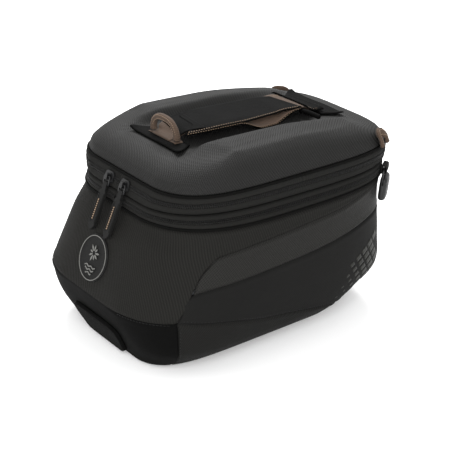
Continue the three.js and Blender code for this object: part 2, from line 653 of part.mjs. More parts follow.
const loopFoot = onPatch + RIDER_LOOP.radius;      // room for the foot to swing over the patch
addPart('rider_loop_base', box([RIDER_LOOP.x - LOOP_BASE.halfWidth, RIDER_LOOP.y - 4.5, onPatch],
  [RIDER_LOOP.x + LOOP_BASE.halfWidth, RIDER_LOOP.y + 4, onPatch + LOOP_BASE.thickness]), BEIGE);
const loopRise = RIDER_LOOP.top - loopFoot;
const ARCH = [[-1, 0], [-0.98, 0.43], [-0.64, 0.85], [0, 1], [0.64, 0.85], [0.98, 0.43], [1, 0]];
const riderLoopPath = ARCH.map(([u, v]) => [
  RIDER_LOOP.x + u * RIDER_LOOP.halfSpan, RIDER_LOOP.y, loopFoot + v * loopRise]);
addPart('rider_loop', bentBar(riderLoopPath, RIDER_LOOP.radius, 14), BEIGE);

for (const [side, mirror] of [['right', 1], ['left', -1]]) {
  const { angle, halfTurn, top, radius, standOff } = FRONT_LOOP;
  const path = ARCH.map(([u, v]) => {
    const [x, y, z] = lidPoint(angle + u * halfTurn, mix(LID_BASE + 0.6, top, v), -standOff);
    return [mirror * x, y, z];
  });
  addPart(`front_loop_${side}`, bentBar(path, radius, 12), BEIGE);
}

// ---------- zip sliders and pulls ----------

// Local X runs along the zip, Y up the wall and Z out of it. Origin: middle of the slot, on the chain's face.
function slider(wallTilt) {
  const { length, height, plate: thickness, web } = SLIDER;
  const front = plate(rectangle(length, height, 2), thickness).translate(0, 0, GAP + thickness / 2);
  const behind = -CHAIN_THICKNESS - GAP;
  const back = plate(rectangle(length, height, 2), thickness).translate(0, 0, behind - thickness / 2);
  const bridge = box([-3.5, -web / 2, behind - 0.5], [3.5, web / 2, GAP + 0.5]).rotateX(wallTilt);
  const crownLow = GAP + thickness;
  const crown = box([-CROWN.length / 2, -CROWN.height / 2, crownLow - 0.4],
    [CROWN.length / 2, CROWN.height / 2, crownLow + CROWN.depth]);
  const bore = box([-5, -1.5, crownLow + CROWN.floor], [5, 1.5, crownLow + CROWN.depth - CROWN.roof]);
  return cut(unite(front, back, bridge, crown), bore);
}
const CROWN_AXIS = GAP + SLIDER.plate + (CROWN.floor + CROWN.depth - CROWN.roof) / 2;

// Origin: the bar in the crown. The link hangs down local -Y.
function link() {
  const { inner, width, height, bar } = LINK;
  const thickness = 1.5;
  return plate(rectangle(width, height, 1.6, 0, -height / 2 + bar / 2), thickness,
    [rectangle(inner, height - 2 * bar, 0.3, 0, -height / 2 + bar / 2)]);
}
const LINK_PITCH = LINK.height - LINK.bar;

// Origin: the bore the link's lower bar runs through. The pull hangs down local -Y.
function pull({ width, neck, length, thickness, bore, neckLength, top }) {
  const w = width / 2;
  const n = neck / 2;
  const outline = [[-n, top], [-n, -neckLength + 2], [-w, -neckLength], [-w, -length + 4], [-w + 3, -length],
    [w - 3, -length], [w, -length + 4], [w, -neckLength], [n, -neckLength + 2], [n, top]];
  const hole = box([-n - 1, -bore / 2, -bore / 2], [n + 1, bore / 2, bore / 2]);
  return cut(plate(outline.reverse(), thickness), hole);
}

function zipSlider(name, origin, along, out, wallUp, lean, pullSize) {
  const normal = new THREE.Vector3().crossVectors(new THREE.Vector3(...along), new THREE.Vector3(...wallUp));
  const crown = origin.map((v, i) => v + normal.getComponent(i) * CROWN_AXIS);
  const tilted = (degrees) => out.map((v, i) => (
    (i === 2 ? Math.cos(radians(degrees)) : 0) - v * Math.sin(radians(degrees))));
  const linkUp = tilted(lean.link);
  const hinge = crown.map((v, i) => v - linkUp[i] * LINK_PITCH);
  addPart(`${name}_slider`, place(slider(Math.acos(wallUp[2])), origin, along, wallUp), PLASTIC, 0.4);
  addPart(`${name}_link`, place(link(), crown, along, linkUp), PLASTIC, 0.4);
  addPart(`${name}_pull`, place(pull(pullSize), hinge, along, tilted(lean.pull)), PLASTIC, 0.6);
}

function unit(from, to) {
  return new THREE.Vector3(...to).sub(new THREE.Vector3(...from)).normalize().toArray();
}

const slotHeight = (MAIN_LOWER_CHAIN[1] + MAIN_UPPER_CHAIN[0]) / 2;
const endWallUp = unit(bodyPoint(-90, slotHeight - 3), bodyPoint(-90, slotHeight + 3));
const chainFace = bodyPoint(-90, slotHeight, -CHAIN_OUT)[1];
for (const side of ['left', 'right']) {
  const origin = [SLIDER_X[side], chainFace, slotHeight];
  zipSlider(`zip_${side}`, origin, [1, 0, 0], [0, -1, 0], endWallUp, MAIN_LEAN, PULL);
}

// The expansion zip's slider rides the flat between two corners of its chain, on the left side.
const expansionSlot = (EXPANSION_LOWER_CHAIN[1] + EXPANSION_UPPER_CHAIN[0]) / 2;
const flatStart = bodyPoint(168, expansionSlot, -CHAIN_OUT);
const flatEnd = bodyPoint(180, expansionSlot, -CHAIN_OUT);
const expansionSpot = flatStart.map((v, i) => mix(v, flatEnd[i], 0.7));
const expansionAlong = unit(flatStart, flatEnd);
const expansionOut = [expansionAlong[1], -expansionAlong[0], 0];
const sideWallUp = unit(bodyPoint(174, expansionSlot - 3), bodyPoint(174, expansionSlot + 3));
zipSlider('expansion', expansionSpot, expansionAlong, expansionOut, sideWallUp, EXPANSION_LEAN, SMALL_PULL);

// ---------- badge ----------

const badgeLow = bodyPoint(-90, BADGE_HEIGHT - 20);
const badgeHigh = bodyPoint(-90, BADGE_HEIGHT + 20);
const badgeUp = badgeHigh.map((v, i) => v - badgeLow[i]);
const badgeOut = new THREE.Vector3(0, -badgeUp[2], badgeUp[1]).normalize();
const badgeOffset = BADGE_THICKNESS / 2 + 0.5;
const badgeCentre = bodyPoint(-90, BADGE_HEIGHT).map((v, i) => v + badgeOut.getComponent(i) * badgeOffset);
const disc = plate(circle(BADGE_RADIUS, 32), BADGE_THICKNESS);
addPart('badge', place(disc, badgeCentre, [1, 0, 0], badgeUp), TRIM, 0.5);

// ---------- buckles at the front corners ----------

for (const [side, mirror] of [['right', 1], ['left', -1]]) {
  const before = bodyPoint(BUCKLE.angle - 6, LOWER_PIPING);
  const after = bodyPoint(BUCKLE.angle + 6, LOWER_PIPING);
  const wall = bodyPoint(BUCKLE.angle, LOWER_PIPING);
  const chord = [[mirror * before[0], before[1], 0], [mirror * after[0], after[1], 0]];
  const along = unit(...chord).map((v) => v * mirror);
  const out = [along[1], -along[0]];
  const foot = bodyPoint(BUCKLE.angle, LOWER_PIPING + BUCKLE.low);
  const flare = mirror * out[0] * (foot[0] - wall[0]) + out[1] * (foot[1] - wall[1]);
  const upWall = [-out[0] * flare, -out[1] * flare, -BUCKLE.low];
  const frame = (geometry) => place(geometry, [mirror * wall[0], wall[1], LOWER_PIPING], along, upWall);
  const half = BUCKLE.width / 2;
  const front = BUCKLE.back + BUCKLE.thickness;
  const middle = BUCKLE.back + BUCKLE.thickness / 2;
  const shell = box([-half, BUCKLE.low, BUCKLE.back], [half, BUCKLE.high - 7.6, front]);
  const barFrame = box([-half, BUCKLE.high - 8, BUCKLE_BAR[0]], [half, BUCKLE.high, BUCKLE_BAR[1]]);
  const webSlot = box([-BUCKLE.slot / 2, BUCKLE.high - 7.6, -5], [BUCKLE.slot / 2, BUCKLE.high - 2.4, 30]);
  const cavity = box([-8.5, BUCKLE.low - 5, middle - BUCKLE.cavity / 2],
    [8.5, BUCKLE.low + 18, middle + BUCKLE.cavity / 2]);
  const windows = box([-30, BUCKLE.low + 7, middle - 2], [30, BUCKLE.low + 15, middle + 2]);
  addPart(`buckle_${side}`, frame(cut(unite(shell, barFrame), webSlot, cavity, windows)), PLASTIC, 0.4);
  const tab = box([-TAB.width / 2, TAB.low, TAB.inner], [TAB.width / 2, TAB.high, TAB.outer]);
  const tabHole = box([-TAB.width, TAB.low + TAB.wall, TAB.inner + TAB.wall],
    [TAB.width, TAB.high - TAB.wall, TAB.outer - TAB.wall]);
  addPart(`buckle_tab_${side}`, frame(cut(tab, tabHole)), TRIM);
}

export default parts;
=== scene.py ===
"""Looks of a motorcycle tank bag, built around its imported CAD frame.

Lengths are millimetres in the bag's own frame until a mesh is made: X across, -Y towards the rider, Z up.
"""
import math

import bpy
import numpy as np
from mathutils import Matrix, Vector


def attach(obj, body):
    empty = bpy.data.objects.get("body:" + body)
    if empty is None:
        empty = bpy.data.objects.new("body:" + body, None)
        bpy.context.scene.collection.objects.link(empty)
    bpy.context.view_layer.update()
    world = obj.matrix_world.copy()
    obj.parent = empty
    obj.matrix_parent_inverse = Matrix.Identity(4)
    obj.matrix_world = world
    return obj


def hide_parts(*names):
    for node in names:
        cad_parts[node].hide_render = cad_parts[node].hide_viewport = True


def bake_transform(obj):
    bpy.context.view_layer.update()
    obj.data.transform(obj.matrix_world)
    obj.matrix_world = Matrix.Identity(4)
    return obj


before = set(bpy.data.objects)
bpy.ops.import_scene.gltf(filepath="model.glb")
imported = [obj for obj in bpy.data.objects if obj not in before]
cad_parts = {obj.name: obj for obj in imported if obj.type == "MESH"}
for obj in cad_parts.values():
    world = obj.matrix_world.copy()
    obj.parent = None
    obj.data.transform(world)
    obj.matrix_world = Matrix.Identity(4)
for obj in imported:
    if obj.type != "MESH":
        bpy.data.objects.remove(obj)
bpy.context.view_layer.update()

MM = 0.001
SCENE = bpy.context.scene


def add_object(name, data):
    made = bpy.data.objects.new(name, data)
    SCENE.collection.objects.link(made)
    return made


# ---------- camera ----------

AZIMUTH, ELEVATION, ROLL = (math.radians(a) for a in (54.489, 23.928, 0.426))
CAMERA_PLACE = (1.0147, -0.71878, 0.6343)
right = Vector((math.cos(AZIMUTH), math.sin(AZIMUTH), 0))
forward = Vector((-math.sin(AZIMUTH) * math.cos(ELEVATION), math.cos(AZIMUTH) * math.cos(ELEVATION),
                  -math.sin(ELEVATION)))
up = right.cross(forward)
turned_right = right * math.cos(ROLL) + up * math.sin(ROLL)
turned_up = up * math.cos(ROLL) - right * math.sin(ROLL)
camera_data = bpy.data.cameras.new("camera")
camera_data.sensor_width, camera_data.lens = 36, 111.595
camera_data.clip_start, camera_data.clip_end = 0.05, 20
camera = add_object("camera", camera_data)
camera.matrix_world = Matrix.Translation(CAMERA_PLACE) @ Matrix(
    (turned_right, turned_up, -forward)).transposed().to_4x4()
SCENE.camera = camera

# ---------- shape of the bag ----------

SHIFT = 17.72             # the outlines below are measured from the middle of the lid
REAR_SEAM = 59.5          # levels, up from the base
BODY_TOP = 135.2
LOWER_PIPING = 136.7
EXPANSION_ZIP = 143.0
MAIN_ZIP = 158.0
LID_LINE = 166.5
CREST = 195.5
WALL = 3.4
REAR, AHEAD = -90.0, 90.0  # angles round the bag, of the middle of the rider's end and of the front


def smooth(v, low, high):
    k = np.clip((np.asarray(v, float) - low) / (high - low), 0, 1)
    return k * k * (3 - 2 * k)


def bell(v, width):
    return np.exp(-(np.asarray(v, float) / width) ** 2)


def curve(points):
    """Smooth line through (position, value) points that never overshoots them."""
    x, y = (np.array(c, float) for c in zip(*points))
    h, d = np.diff(x), np.diff(y) / np.diff(x)
    m = np.zeros(len(x))
    m[0], m[-1] = d[0], d[-1]
    same = d[:-1] * d[1:] > 0
    w1, w2 = 2 * h[1:] + h[:-1], h[1:] + 2 * h[:-1]
    with np.errstate(divide="ignore", invalid="ignore"):
        inner = (w1 + w2) / (w1 / d[:-1] + w2 / d[1:])
    m[1:-1] = np.where(same, inner, 0)

    def at(q):
        q = np.clip(np.asarray(q, float), x[0], x[-1])
        i = np.clip(np.searchsorted(x, q) - 1, 0, len(h) - 1)
        t = (q - x[i]) / h[i]
        a, b, c, e = (1 + 2 * t) * (1 - t) ** 2, t * (1 - t) ** 2, t * t * (3 - 2 * t), t * t * (t - 1)
        return a * y[i] + b * h[i] * m[i] + c * y[i + 1] + e * h[i] * m[i + 1]
    return at


half_width = curve([(0, 69.5), (9.5, 82.5), (26.7, 100), (53.9, 108.6), (68, 109.8), (112, 106.2),
                    (136, 102.8), (148.8, 97.2), (166.5, 95.6), (177, 92.6), (188, 86), (195.5, 77)])
front_end = curve([(0, 112), (9.5, 122), (26.7, 127.5), (53.9, 131.6), (68, 133.5), (112, 134.8),
                   (136, 132), (148.8, 133.4), (166.5, 130), (177, 127), (188, 116), (195.5, 96)])
squareness = curve([(0, 5), (9.5, 4.8), (26.7, 4.5), (53.9, 3.5), (68, 3.2), (112, 2.9), (136, 3.2),
                    (148.8, 3.4), (166.5, 4.1), (188, 4.2), (195.5, 4.5)])
taper = curve([(0, -.128), (68, -.128), (112, -.115), (136, -.075), (148.8, -.05), (166.5, -.06),
               (195.5, -.06)])
rear_low = curve([(0, -147.5), (9.5, -151.8), (26.7, -160.5), (45, -168.6), (REAR_SEAM, -174.2)])
rear_high = curve([(REAR_SEAM, -174.2), (80, -167), (112, -154.2), (136, -138), (148.8, -136.8),
                   (166.5, -131.5), (177, -128.5), (188, -120), (195.5, -105)])
ramp = curve([(-200, 0), (40, 0), (62, 6.6), (82, 15.2), (112, 19.8), (145, 23.4)])


def ring_xy(width, rear, front, square, lean, degrees, inset=0.0):
    c, s = np.cos(np.radians(degrees)), np.sin(np.radians(degrees))
    along = np.sign(s) * np.abs(s) ** (2 / square)
    across = np.sign(c) * np.abs(c) ** (2 / square)
    x = across * (width * (1 + lean * along) - inset)
    y = (front + rear) / 2 + along * ((front - rear) / 2 - inset)
    flat = rear + inset + 1.8
    return x, flat + 0.5 * np.logaddexp(0, (y - flat) / 0.5)


def outline_xy(degrees, level, inset=0.0):
    rear = np.where(level < REAR_SEAM, rear_low(level), rear_high(level))
    return ring_xy(half_width(level), rear, front_end(level), squareness(level), taper(level), degrees, inset)


def body(degrees, level, inset=0.0):
    """Point of the bag's outer surface: angle round it and level up it, pushed in by inset."""
    degrees, level = np.broadcast_arrays(np.asarray(degrees, float), np.asarray(level, float))
    x, y = outline_xy(degrees, level, inset)
    lift = np.where(level < BODY_TOP, ramp(y) * (1 - level / BODY_TOP), 0)
    return np.stack([x, y, level + lift], -1)


def level_at(degrees, height):
    """Level of the surface where it passes through height(y), at each angle."""
    level = np.full(np.shape(degrees), 60.0)
    for _ in range(14):
        y = body(degrees, level)[..., 1]
        level = np.clip((height(y) - ramp(y)) / (1 - ramp(y) / BODY_TOP), 0, BODY_TOP)
    return level


def lengths(points):
    return np.concatenate([[0], np.cumsum(np.linalg.norm(np.diff(points, axis=0), axis=1))])


def along_path(path, run, at):
    return np.stack([np.interp(at, run, path[:, k]) for k in range(3)], -1)


def unit(v):
    v = np.asarray(v, float)
    return v / np.linalg.norm(v)


def unit_rows(v):
    return v / np.maximum(np.linalg.norm(v, axis=-1, keepdims=True), 1e-9)


DENSE = np.linspace(-360, 360, 14401)
DENSE_ARC = lengths(body(DENSE, 100.0))
DENSE_ARC -= np.interp(REAR, DENSE, DENSE_ARC)
PERIMETER = np.interp(REAR + 360, DENSE, DENSE_ARC)


def arc_of(degrees):
    return np.interp(degrees, DENSE, DENSE_ARC)


def angles(start, end, step, closed=False, edge=()):
    """Angles from start to end an even distance apart along the surface, closer at the ends."""
    a, b = arc_of(start), arc_of(end)
    count = max(3, int(round((b - a) / step)))
    arcs = np.linspace(a, b, count + 1)
    if closed:
        arcs = arcs[:-1]
    else:
        arcs = np.unique(np.concatenate([[a, b], *[[a + e, b - e] for e in edge], arcs[2:-2]]))
    return np.interp(arcs, DENSE_ARC, DENSE)


def all_round(step):
    return angles(REAR, REAR + 360, step, closed=True)


def ring_normals(grid):
    """Unit normals, pointing out, of a closed grid[column][row] that goes anticlockwise and up."""
    return unit_rows(np.cross(np.roll(grid, -1, 0) - np.roll(grid, 1, 0), np.gradient(grid, axis=1)))


# ---------- sewn panels ----------

lower_seam = curve([(-150, 59.5), (-140, 59.5), (-120, 56.5), (-90, 51.5), (-53, 42.5), (-17, 36), (13, 29.5),
                    (56, 20.5), (88, 10)])
flash_low = curve([(-141, 60.5), (-135, 68.5), (-125, 82.5), (-90, 87.5), (-47, 90.5), (1, 92.5), (55, 96.5),
                   (90, 99.5), (130, 100)])
flash_high = curve([(-150, 59.5), (-141, 60), (-125, 82.5), (-114, 98.5), (-104, 107.5), (-99, 111.5),
                    (-76, 115.5), (-56, 117.5), (-10, 120.5), (41, 123.5), (70, 127.5), (100, 132.4),
                    (102.6, 132.9), (104.5, 136)])


def flat(value):
    return lambda y: np.full(np.shape(y), float(value))


def higher(line, other):
    return lambda y: np.maximum(line(y), other(y))


def above_base(lift):
    return lambda y: ramp(y) + lift


WRAP_END, CORNER, FLASH_START, SIDE_END, FRONT = 43, -40.5, -36.7, 26, 66.3
PANELS = {
    "rider_wrap_panel": (-180 - WRAP_END, WRAP_END, flash_high, flat(BODY_TOP)),
    "rider_lower_panel": (-180 - CORNER, CORNER, above_base(1.0), flat(REAR_SEAM)),
    "front_panel": (FRONT, 180 - FRONT, above_base(1.0), flat(BODY_TOP)),
}
for name, start, end, low, high in (
        ("side_flash", FLASH_START, FRONT, flash_low, flash_high),
        ("side_panel", CORNER, FRONT, higher(lower_seam, above_base(2)), flash_low),
        ("lower_side", CORNER, SIDE_END, above_base(1.0), higher(lower_seam, above_base(1.8)))):
    PANELS[f"{name}_right"] = (start, end, low, high)
    PANELS[f"{name}_left"] = (180 - end, 180 - start, low, high)


def edge_distance(degrees, level):
    """Distance to the nearest seam, of points on the surface."""
    point = body(degrees, level)
    y, z, arc = point[..., 1], point[..., 2], arc_of(degrees)
    best = np.zeros(np.shape(z))
    for start, end, low, high in PANELS.values():
        for turn in (0, PERIMETER, -PERIMETER):
            d = np.minimum.reduce([z - low(y), high(y) - z, arc + turn - arc_of(start),
                                   arc_of(end) - arc - turn])
            best = np.maximum(best, d)
    return best


def grid_faces(columns, rows, closed=False, offset=0, flip=False):
    spans = columns if closed else columns - 1
    faces = []
    for i in range(spans):
        k = (i + 1) % columns
        for j in range(rows - 1):
            face = (i * rows + j, k * rows + j, k * rows + j + 1, i * rows + j + 1)
            faces.append(tuple(offset + v for v in (face[::-1] if flip else face)))
    return faces


# The whole skin is inflated once between its seams, and every panel then takes its bulge from it.
SIM_COLUMNS, SIM_LEVELS = 164, np.linspace(1.5, BODY_TOP - 1, 27)
SIM_ANGLES = all_round(PERIMETER / SIM_COLUMNS)[:SIM_COLUMNS]
SIM_FRAMES = 20
BULGE_CAP = 3.2
CLOTH = dict(quality=6, mass=0.35, tension_stiffness=18, compression_stiffness=18, bending_stiffness=0.6,
             use_pressure=True, uniform_pressure_force=4, vertex_group_mass="held", pin_stiffness=0.6)


def inflated_skin():
    grid = body(SIM_ANGLES[:, None], SIM_LEVELS[None])
    columns, rows = grid.shape[:2]
    mesh = bpy.data.meshes.new("skin")
    mesh.from_pydata((grid.reshape(-1, 3) * MM).tolist(), [], grid_faces(columns, rows, True))
    skin = add_object("skin", mesh)
    distance = edge_distance(np.repeat(SIM_ANGLES[:, None], rows, 1), np.repeat(SIM_LEVELS[None], columns, 0))
    held = skin.vertex_groups.new(name="held")
    for index, d in enumerate(distance.ravel()):
        held.add([index], float(1 - smooth(d, 2.5, 9) * 0.985), "REPLACE")
    cloth = skin.modifiers.new("cloth", "CLOTH")
    for key, value in CLOTH.items():
        setattr(cloth.settings, key, value)
    cloth.settings.effector_weights.gravity = 0
    cloth.collision_settings.use_collision = False
    cloth.point_cache.frame_start, cloth.point_cache.frame_end = 1, SIM_FRAMES
    for number in range(1, SIM_FRAMES + 1):
        SCENE.frame_set(number)
    result = skin.evaluated_get(bpy.context.evaluated_depsgraph_get()).data
    co = np.zeros(len(result.vertices) * 3)
    result.vertices.foreach_get("co", co)
    moved = co.reshape(columns, rows, 3) / MM - grid
    SCENE.frame_set(1)
    bpy.data.objects.remove(skin)
    out = (moved * ring_normals(grid)).sum(-1)
    return np.clip(out, -BULGE_CAP, BULGE_CAP) * smooth(distance, 0, 10)


SIM_BULGE = inflated_skin()


def bulge(degrees, level):
    """Bulge of the inflated skin at any angle and level, in mm."""
    arc0 = arc_of(SIM_ANGLES[0])
    at = np.mod(arc_of(degrees) - arc0, PERIMETER) / PERIMETER * SIM_COLUMNS
    row = np.clip((level - SIM_LEVELS[0]) / (SIM_LEVELS[1] - SIM_LEVELS[0]), 0, len(SIM_LEVELS) - 1.001)
    i, j = np.floor(at).astype(int), np.floor(row).astype(int)
    u, v = at - i, row - j
    u, v = u * u * (3 - 2 * u), v * v * (3 - 2 * v)
    a, b = i % SIM_COLUMNS, (i + 1) % SIM_COLUMNS
    return ((SIM_BULGE[a, j] * (1 - u) + SIM_BULGE[b, j] * u) * (1 - v)
            + (SIM_BULGE[a, j + 1] * (1 - u) + SIM_BULGE[b, j + 1] * u) * v)


# ---------- making meshes ----------

def to_frame(points):
    return (np.asarray(points, float).reshape(-1, 3) + (0, SHIFT, 0)) * MM


def add_mesh(name, points, faces, body_name, material, replaces=(), slot=None, coords=None,
             smooth_faces=True):
    """One piece, from points in millimetres. coords is each point's place on the cloth, for its weave."""
    mesh = bpy.data.meshes.new(name)
    mesh.from_pydata(to_frame(points).tolist(), [], faces)
    mesh.validate()
    piece = add_object(name, mesh)
    mesh.materials.append(material)
    if smooth_faces:
        mesh.polygons.foreach_set("use_smooth", [True] * len(mesh.polygons))
    if coords is not None:
        weave = mesh.attributes.new("weave", "FLOAT_VECTOR", "POINT")
        flat_coords = np.zeros((len(mesh.vertices), 3), np.float32)
        flat_coords[:, :2] = np.resize(coords, (len(mesh.vertices), 2))    # a wall's back repeats its face
        weave.data.foreach_set("vector", flat_coords.ravel())
    if body_name:
        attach(piece, body_name)
    if replaces:
        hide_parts(*replaces)
    return piece


def weave_grid(along, across):
    """Place on the cloth of each point of a grid[column][row]."""
    return np.stack(np.broadcast_arrays(along, across), -1).reshape(-1, 2)


def shell(outer, inner, closed=False):
    """Points and faces of a closed wall between two grid[column][row] surfaces."""
    columns, rows = outer.shape[:2]
    count = columns * rows
    faces = grid_faces(columns, rows, closed) + grid_faces(columns, rows, closed, count, True)
    spans = columns if closed else columns - 1
    for i in range(spans):
        k = (i + 1) % columns
        faces.append((i * rows, count + i * rows, count + k * rows, k * rows))
        top = rows - 1
        faces.append((i * rows + top, k * rows + top, count + k * rows + top, count + i * rows + top))
    if not closed:
        last = (columns - 1) * rows
        for j in range(rows - 1):
            faces.append((j, j + 1, count + j + 1, count + j))
            faces.append((last + j, count + last + j, count + last + j + 1, last + j + 1))
    return np.concatenate([outer.reshape(-1, 3), inner.reshape(-1, 3)]), faces


def frames_along(path, closed=False, hint=(0, 0, 1)):
    """Tangent, side and up at each point of a path; up stays near hint."""
    path = np.asarray(path, float)
    tangent = unit_rows(np.roll(path, -1, 0) - np.roll(path, 1, 0) if closed else np.gradient(path, axis=0))
    side = unit_rows(np.cross(tangent, np.broadcast_to(np.asarray(hint, float), path.shape)))
    return tangent, side, np.cross(side, tangent)


def tube(path, section, closed=False, hint=(0, 0, 1)):
    """Tube round a path. section is one [side, up] outline, or one for each point of the path."""
    path = np.asarray(path, float)
    section = np.asarray(section, float)
    if section.ndim == 2:
        section = np.broadcast_to(section, (len(path), *section.shape))
    _, side, rise = frames_along(path, closed, hint)
    grid = path[:, None] + side[:, None] * section[..., :1] + rise[:, None] * section[..., 1:]
    columns, rows = grid.shape[:2]
    faces = []
    for i in range(columns if closed else columns - 1):
        k = (i + 1) % columns
        for j in range(rows):
            m = (j + 1) % rows
            faces.append((i * rows + j, i * rows + m, k * rows + m, k * rows + j))
    if not closed:
        faces.append(tuple(range(rows))[::-1])
        faces.append(tuple((columns - 1) * rows + j for j in range(rows)))
    return grid.reshape(-1, 3), faces


def ellipse(a, b, count=12, power=2.0):
    """Outline of half widths a and b; a power above 2 squares it off."""
    t = np.linspace(0, 2 * np.pi, count, endpoint=False)
    c, s = np.cos(t), np.sin(t)
    return np.stack([a * np.sign(c) * np.abs(c) ** (2 / power), b * np.sign(s) * np.abs(s) ** (2 / power)],
                    -1)


def resample(path, step=None, count=None):
    path = np.asarray(path, float)
    run = lengths(path)
    count = count or max(2, int(round(run[-1] / step)) + 1)
    return along_path(path, run, np.linspace(0, run[-1], count))


def spline(points, count):
    """Smooth path through points."""
    points = np.asarray(points, float)
    padded = np.concatenate([[2 * points[0] - points[1]], points, [2 * points[-1] - points[-2]]])
    out = []
    for i in range(1, len(padded) - 2):
        a, b, c, d = padded[i - 1:i + 3]
        for t in np.linspace(0, 1, 16, endpoint=i == len(padded) - 3):
            out.append(0.5 * (2 * b + (c - a) * t + (2 * a - 5 * b + 4 * c - d) * t * t
                              + (3 * b - a - 3 * c + d) * t ** 3))
    return resample(np.array(out), count=count)


def merge(parts):
    """Several (points, faces) as one."""
    points, faces, offset = [], [], 0
    for p, f in parts:
        p = np.asarray(p, float).reshape(-1, 3)
        points.append(p)
        faces += [tuple(v + offset for v in face) for face in f]
        offset += len(p)
    return np.concatenate(points), faces


STITCH_RISE = np.array([-0.9, 0.25, 0.62, 0.25, -0.9])[:, None]
STITCH_GIRTH = np.array([0.45, 0.95, 1.05, 0.95, 0.45])[:, None, None]


def stitches(path, outward, pitch, share=0.68, radius=0.32):
    """A row of thread stitches along a path: each dives into the cloth at both ends."""
    path = np.asarray(path, float)
    outward = np.broadcast_to(np.asarray(outward, float), path.shape)
    run = lengths(path)
    parts = []
    for n in range(int(run[-1] // pitch)):
        s = (n + 0.5 + np.linspace(-share / 2, share / 2, 5)) * pitch
        up_here = along_path(outward, run, s)
        line = along_path(path, run, s) + up_here * (STITCH_RISE * radius * 1.3)
        parts.append(tube(line, ellipse(radius, radius, 6)[None] * STITCH_GIRTH, hint=up_here))
    return merge(parts)


# ---------- materials ----------

class Nodes:
    """Short way to write a node tree."""

    def __init__(self, name):
        self.material = bpy.data.materials.new(name)
        self.material.use_nodes = True
        self.tree = self.material.node_tree
        self.tree.nodes.clear()
        self.shader = self.add("ShaderNodeBsdfPrincipled")
        out = self.add("ShaderNodeOutputMaterial")
        self.tree.links.new(self.shader.outputs[0], out.inputs[0])

    def add(self, kind, **settings):
        node = self.tree.nodes.new(kind)
        for key, value in settings.items():
            setattr(node, key, value)
        return node

    def link(self, source, target):
        if hasattr(source, "node"):
            self.tree.links.new(source, target)
        else:
            target.default_value = source
        return target

    def math(self, operation, *values):
        node = self.add("ShaderNodeMath", operation=operation)
        for value, socket in zip(values, node.inputs):
            self.link(value, socket)
        return node.outputs[0]

    def total(self, *terms, base=0.0):
        """base plus each value times its weight."""
        for value, weight in reversed(terms):
            base = self.math("MULTIPLY_ADD", value, weight, base)
        return base

    def mix(self, share, a, b):
        node = self.add("ShaderNodeMix", data_type="RGBA")
        self.link(share, node.inputs[0])
        self.link(a, node.inputs[6])
        self.link(b, node.inputs[7])
        return node.outputs[2]

    def place(self, attribute="weave", turn=0.0):
        """Coordinates in millimetres, from the cloth's own or the object's."""
        if attribute:
            source = self.add("ShaderNodeAttribute", attribute_name=attribute).outputs["Vector"]
        else:
            source = self.add("ShaderNodeTexCoord").outputs["Object"]
        mapping = self.add("ShaderNodeMapping")
        self.link(source, mapping.inputs["Vector"])
        mapping.inputs["Rotation"].default_value = (0, 0, math.radians(turn))
        mapping.inputs["Scale"].default_value = (1.0 if attribute else 1 / MM,) * 3
        return mapping.outputs[0]

    def wave(self, where, period):
        node = self.add("ShaderNodeTexWave", wave_profile="SIN", bands_direction="X")
        self.link(where, node.inputs["Vector"])
        node.inputs["Scale"].default_value = 2 * math.pi / 20 / period
        return node.outputs["Fac"]

    def slanted(self, direction, period):
        """Wave along a direction in space, for cloth that has no coordinates of its own."""
        dot = self.add("ShaderNodeVectorMath", operation="DOT_PRODUCT")
        self.link(self.place(None), dot.inputs[0])
        dot.inputs[1].default_value = direction
        spread = self.add("ShaderNodeCombineXYZ")
        self.link(dot.outputs["Value"], spread.inputs["X"])
        return self.wave(spread.outputs[0], period)

    def noise(self, where, scale, detail=3.0, rough=0.55):
        node = self.add("ShaderNodeTexNoise")
        self.link(where, node.inputs["Vector"])
        node.inputs["Scale"].default_value = scale
        node.inputs["Detail"].default_value = detail
        node.inputs["Roughness"].default_value = rough
        return node.outputs["Fac"]

    def bump(self, height, strength, distance, normal=None):
        node = self.add("ShaderNodeBump")
        node.inputs["Strength"].default_value = strength
        node.inputs["Distance"].default_value = distance * MM
        self.link(height, node.inputs["Height"])
        if normal is not None:
            self.link(normal, node.inputs["Normal"])
        return node.outputs[0]

    def finish(self, colour, roughness, normal=None, sheen=0.0, metallic=0.0, specular=0.5):
        for name, value in (("Base Color", colour), ("Roughness", roughness), ("Normal", normal),
                            ("Sheen Weight", sheen), ("Sheen Roughness", 0.4), ("Metallic", metallic),
                            ("Specular IOR Level", specular)):
            if value is not None:
                self.link(value, self.shader.inputs[name])
        return self.material


def shade(colour, factor):
    return (*(c * factor for c in colour), 1)


SPACE_WEAVE = ((0.7, 0.7, 0.7), (-0.7, -0.7, 0.7), (0.7, -0.7, 0))


def woven(name, colour, turn, period, contrast=0.5, rough=0.8, specular=0.07, depth=0.35, cross=0.55,
          in_space=False):
    """Woven synthetic cloth: a strong rib one way, a finer thread across it, and slight unevenness."""
    n = Nodes(name)
    if in_space:
        rib, thread, fine = (n.slanted(direction, period) for direction in SPACE_WEAVE)
    else:
        rib, thread, fine = (n.wave(n.place(turn=turn + more), period * share)
                             for more, share in ((0, 1), (90, cross), (38, 0.5)))
    cloth = n.total((thread, 0.35), (fine, 0.15), (rib, 0.6))
    where = n.place(None)
    blotch = n.noise(where, 0.035, 4)
    tone = n.total((cloth, contrast), (n.noise(where, 1.6, 2), 0.22), (blotch, 0.3))
    soft = n.bump(n.noise(where, 0.09, 3), 0.25, 1.6)
    return n.finish(n.mix(tone, shade(colour, 0.35), shade(colour, 1.9)),
                    n.total((blotch, 0.16), (cloth, -0.08), base=rough - 0.04),
                    n.bump(cloth, 0.8, depth, soft), specular=specular)


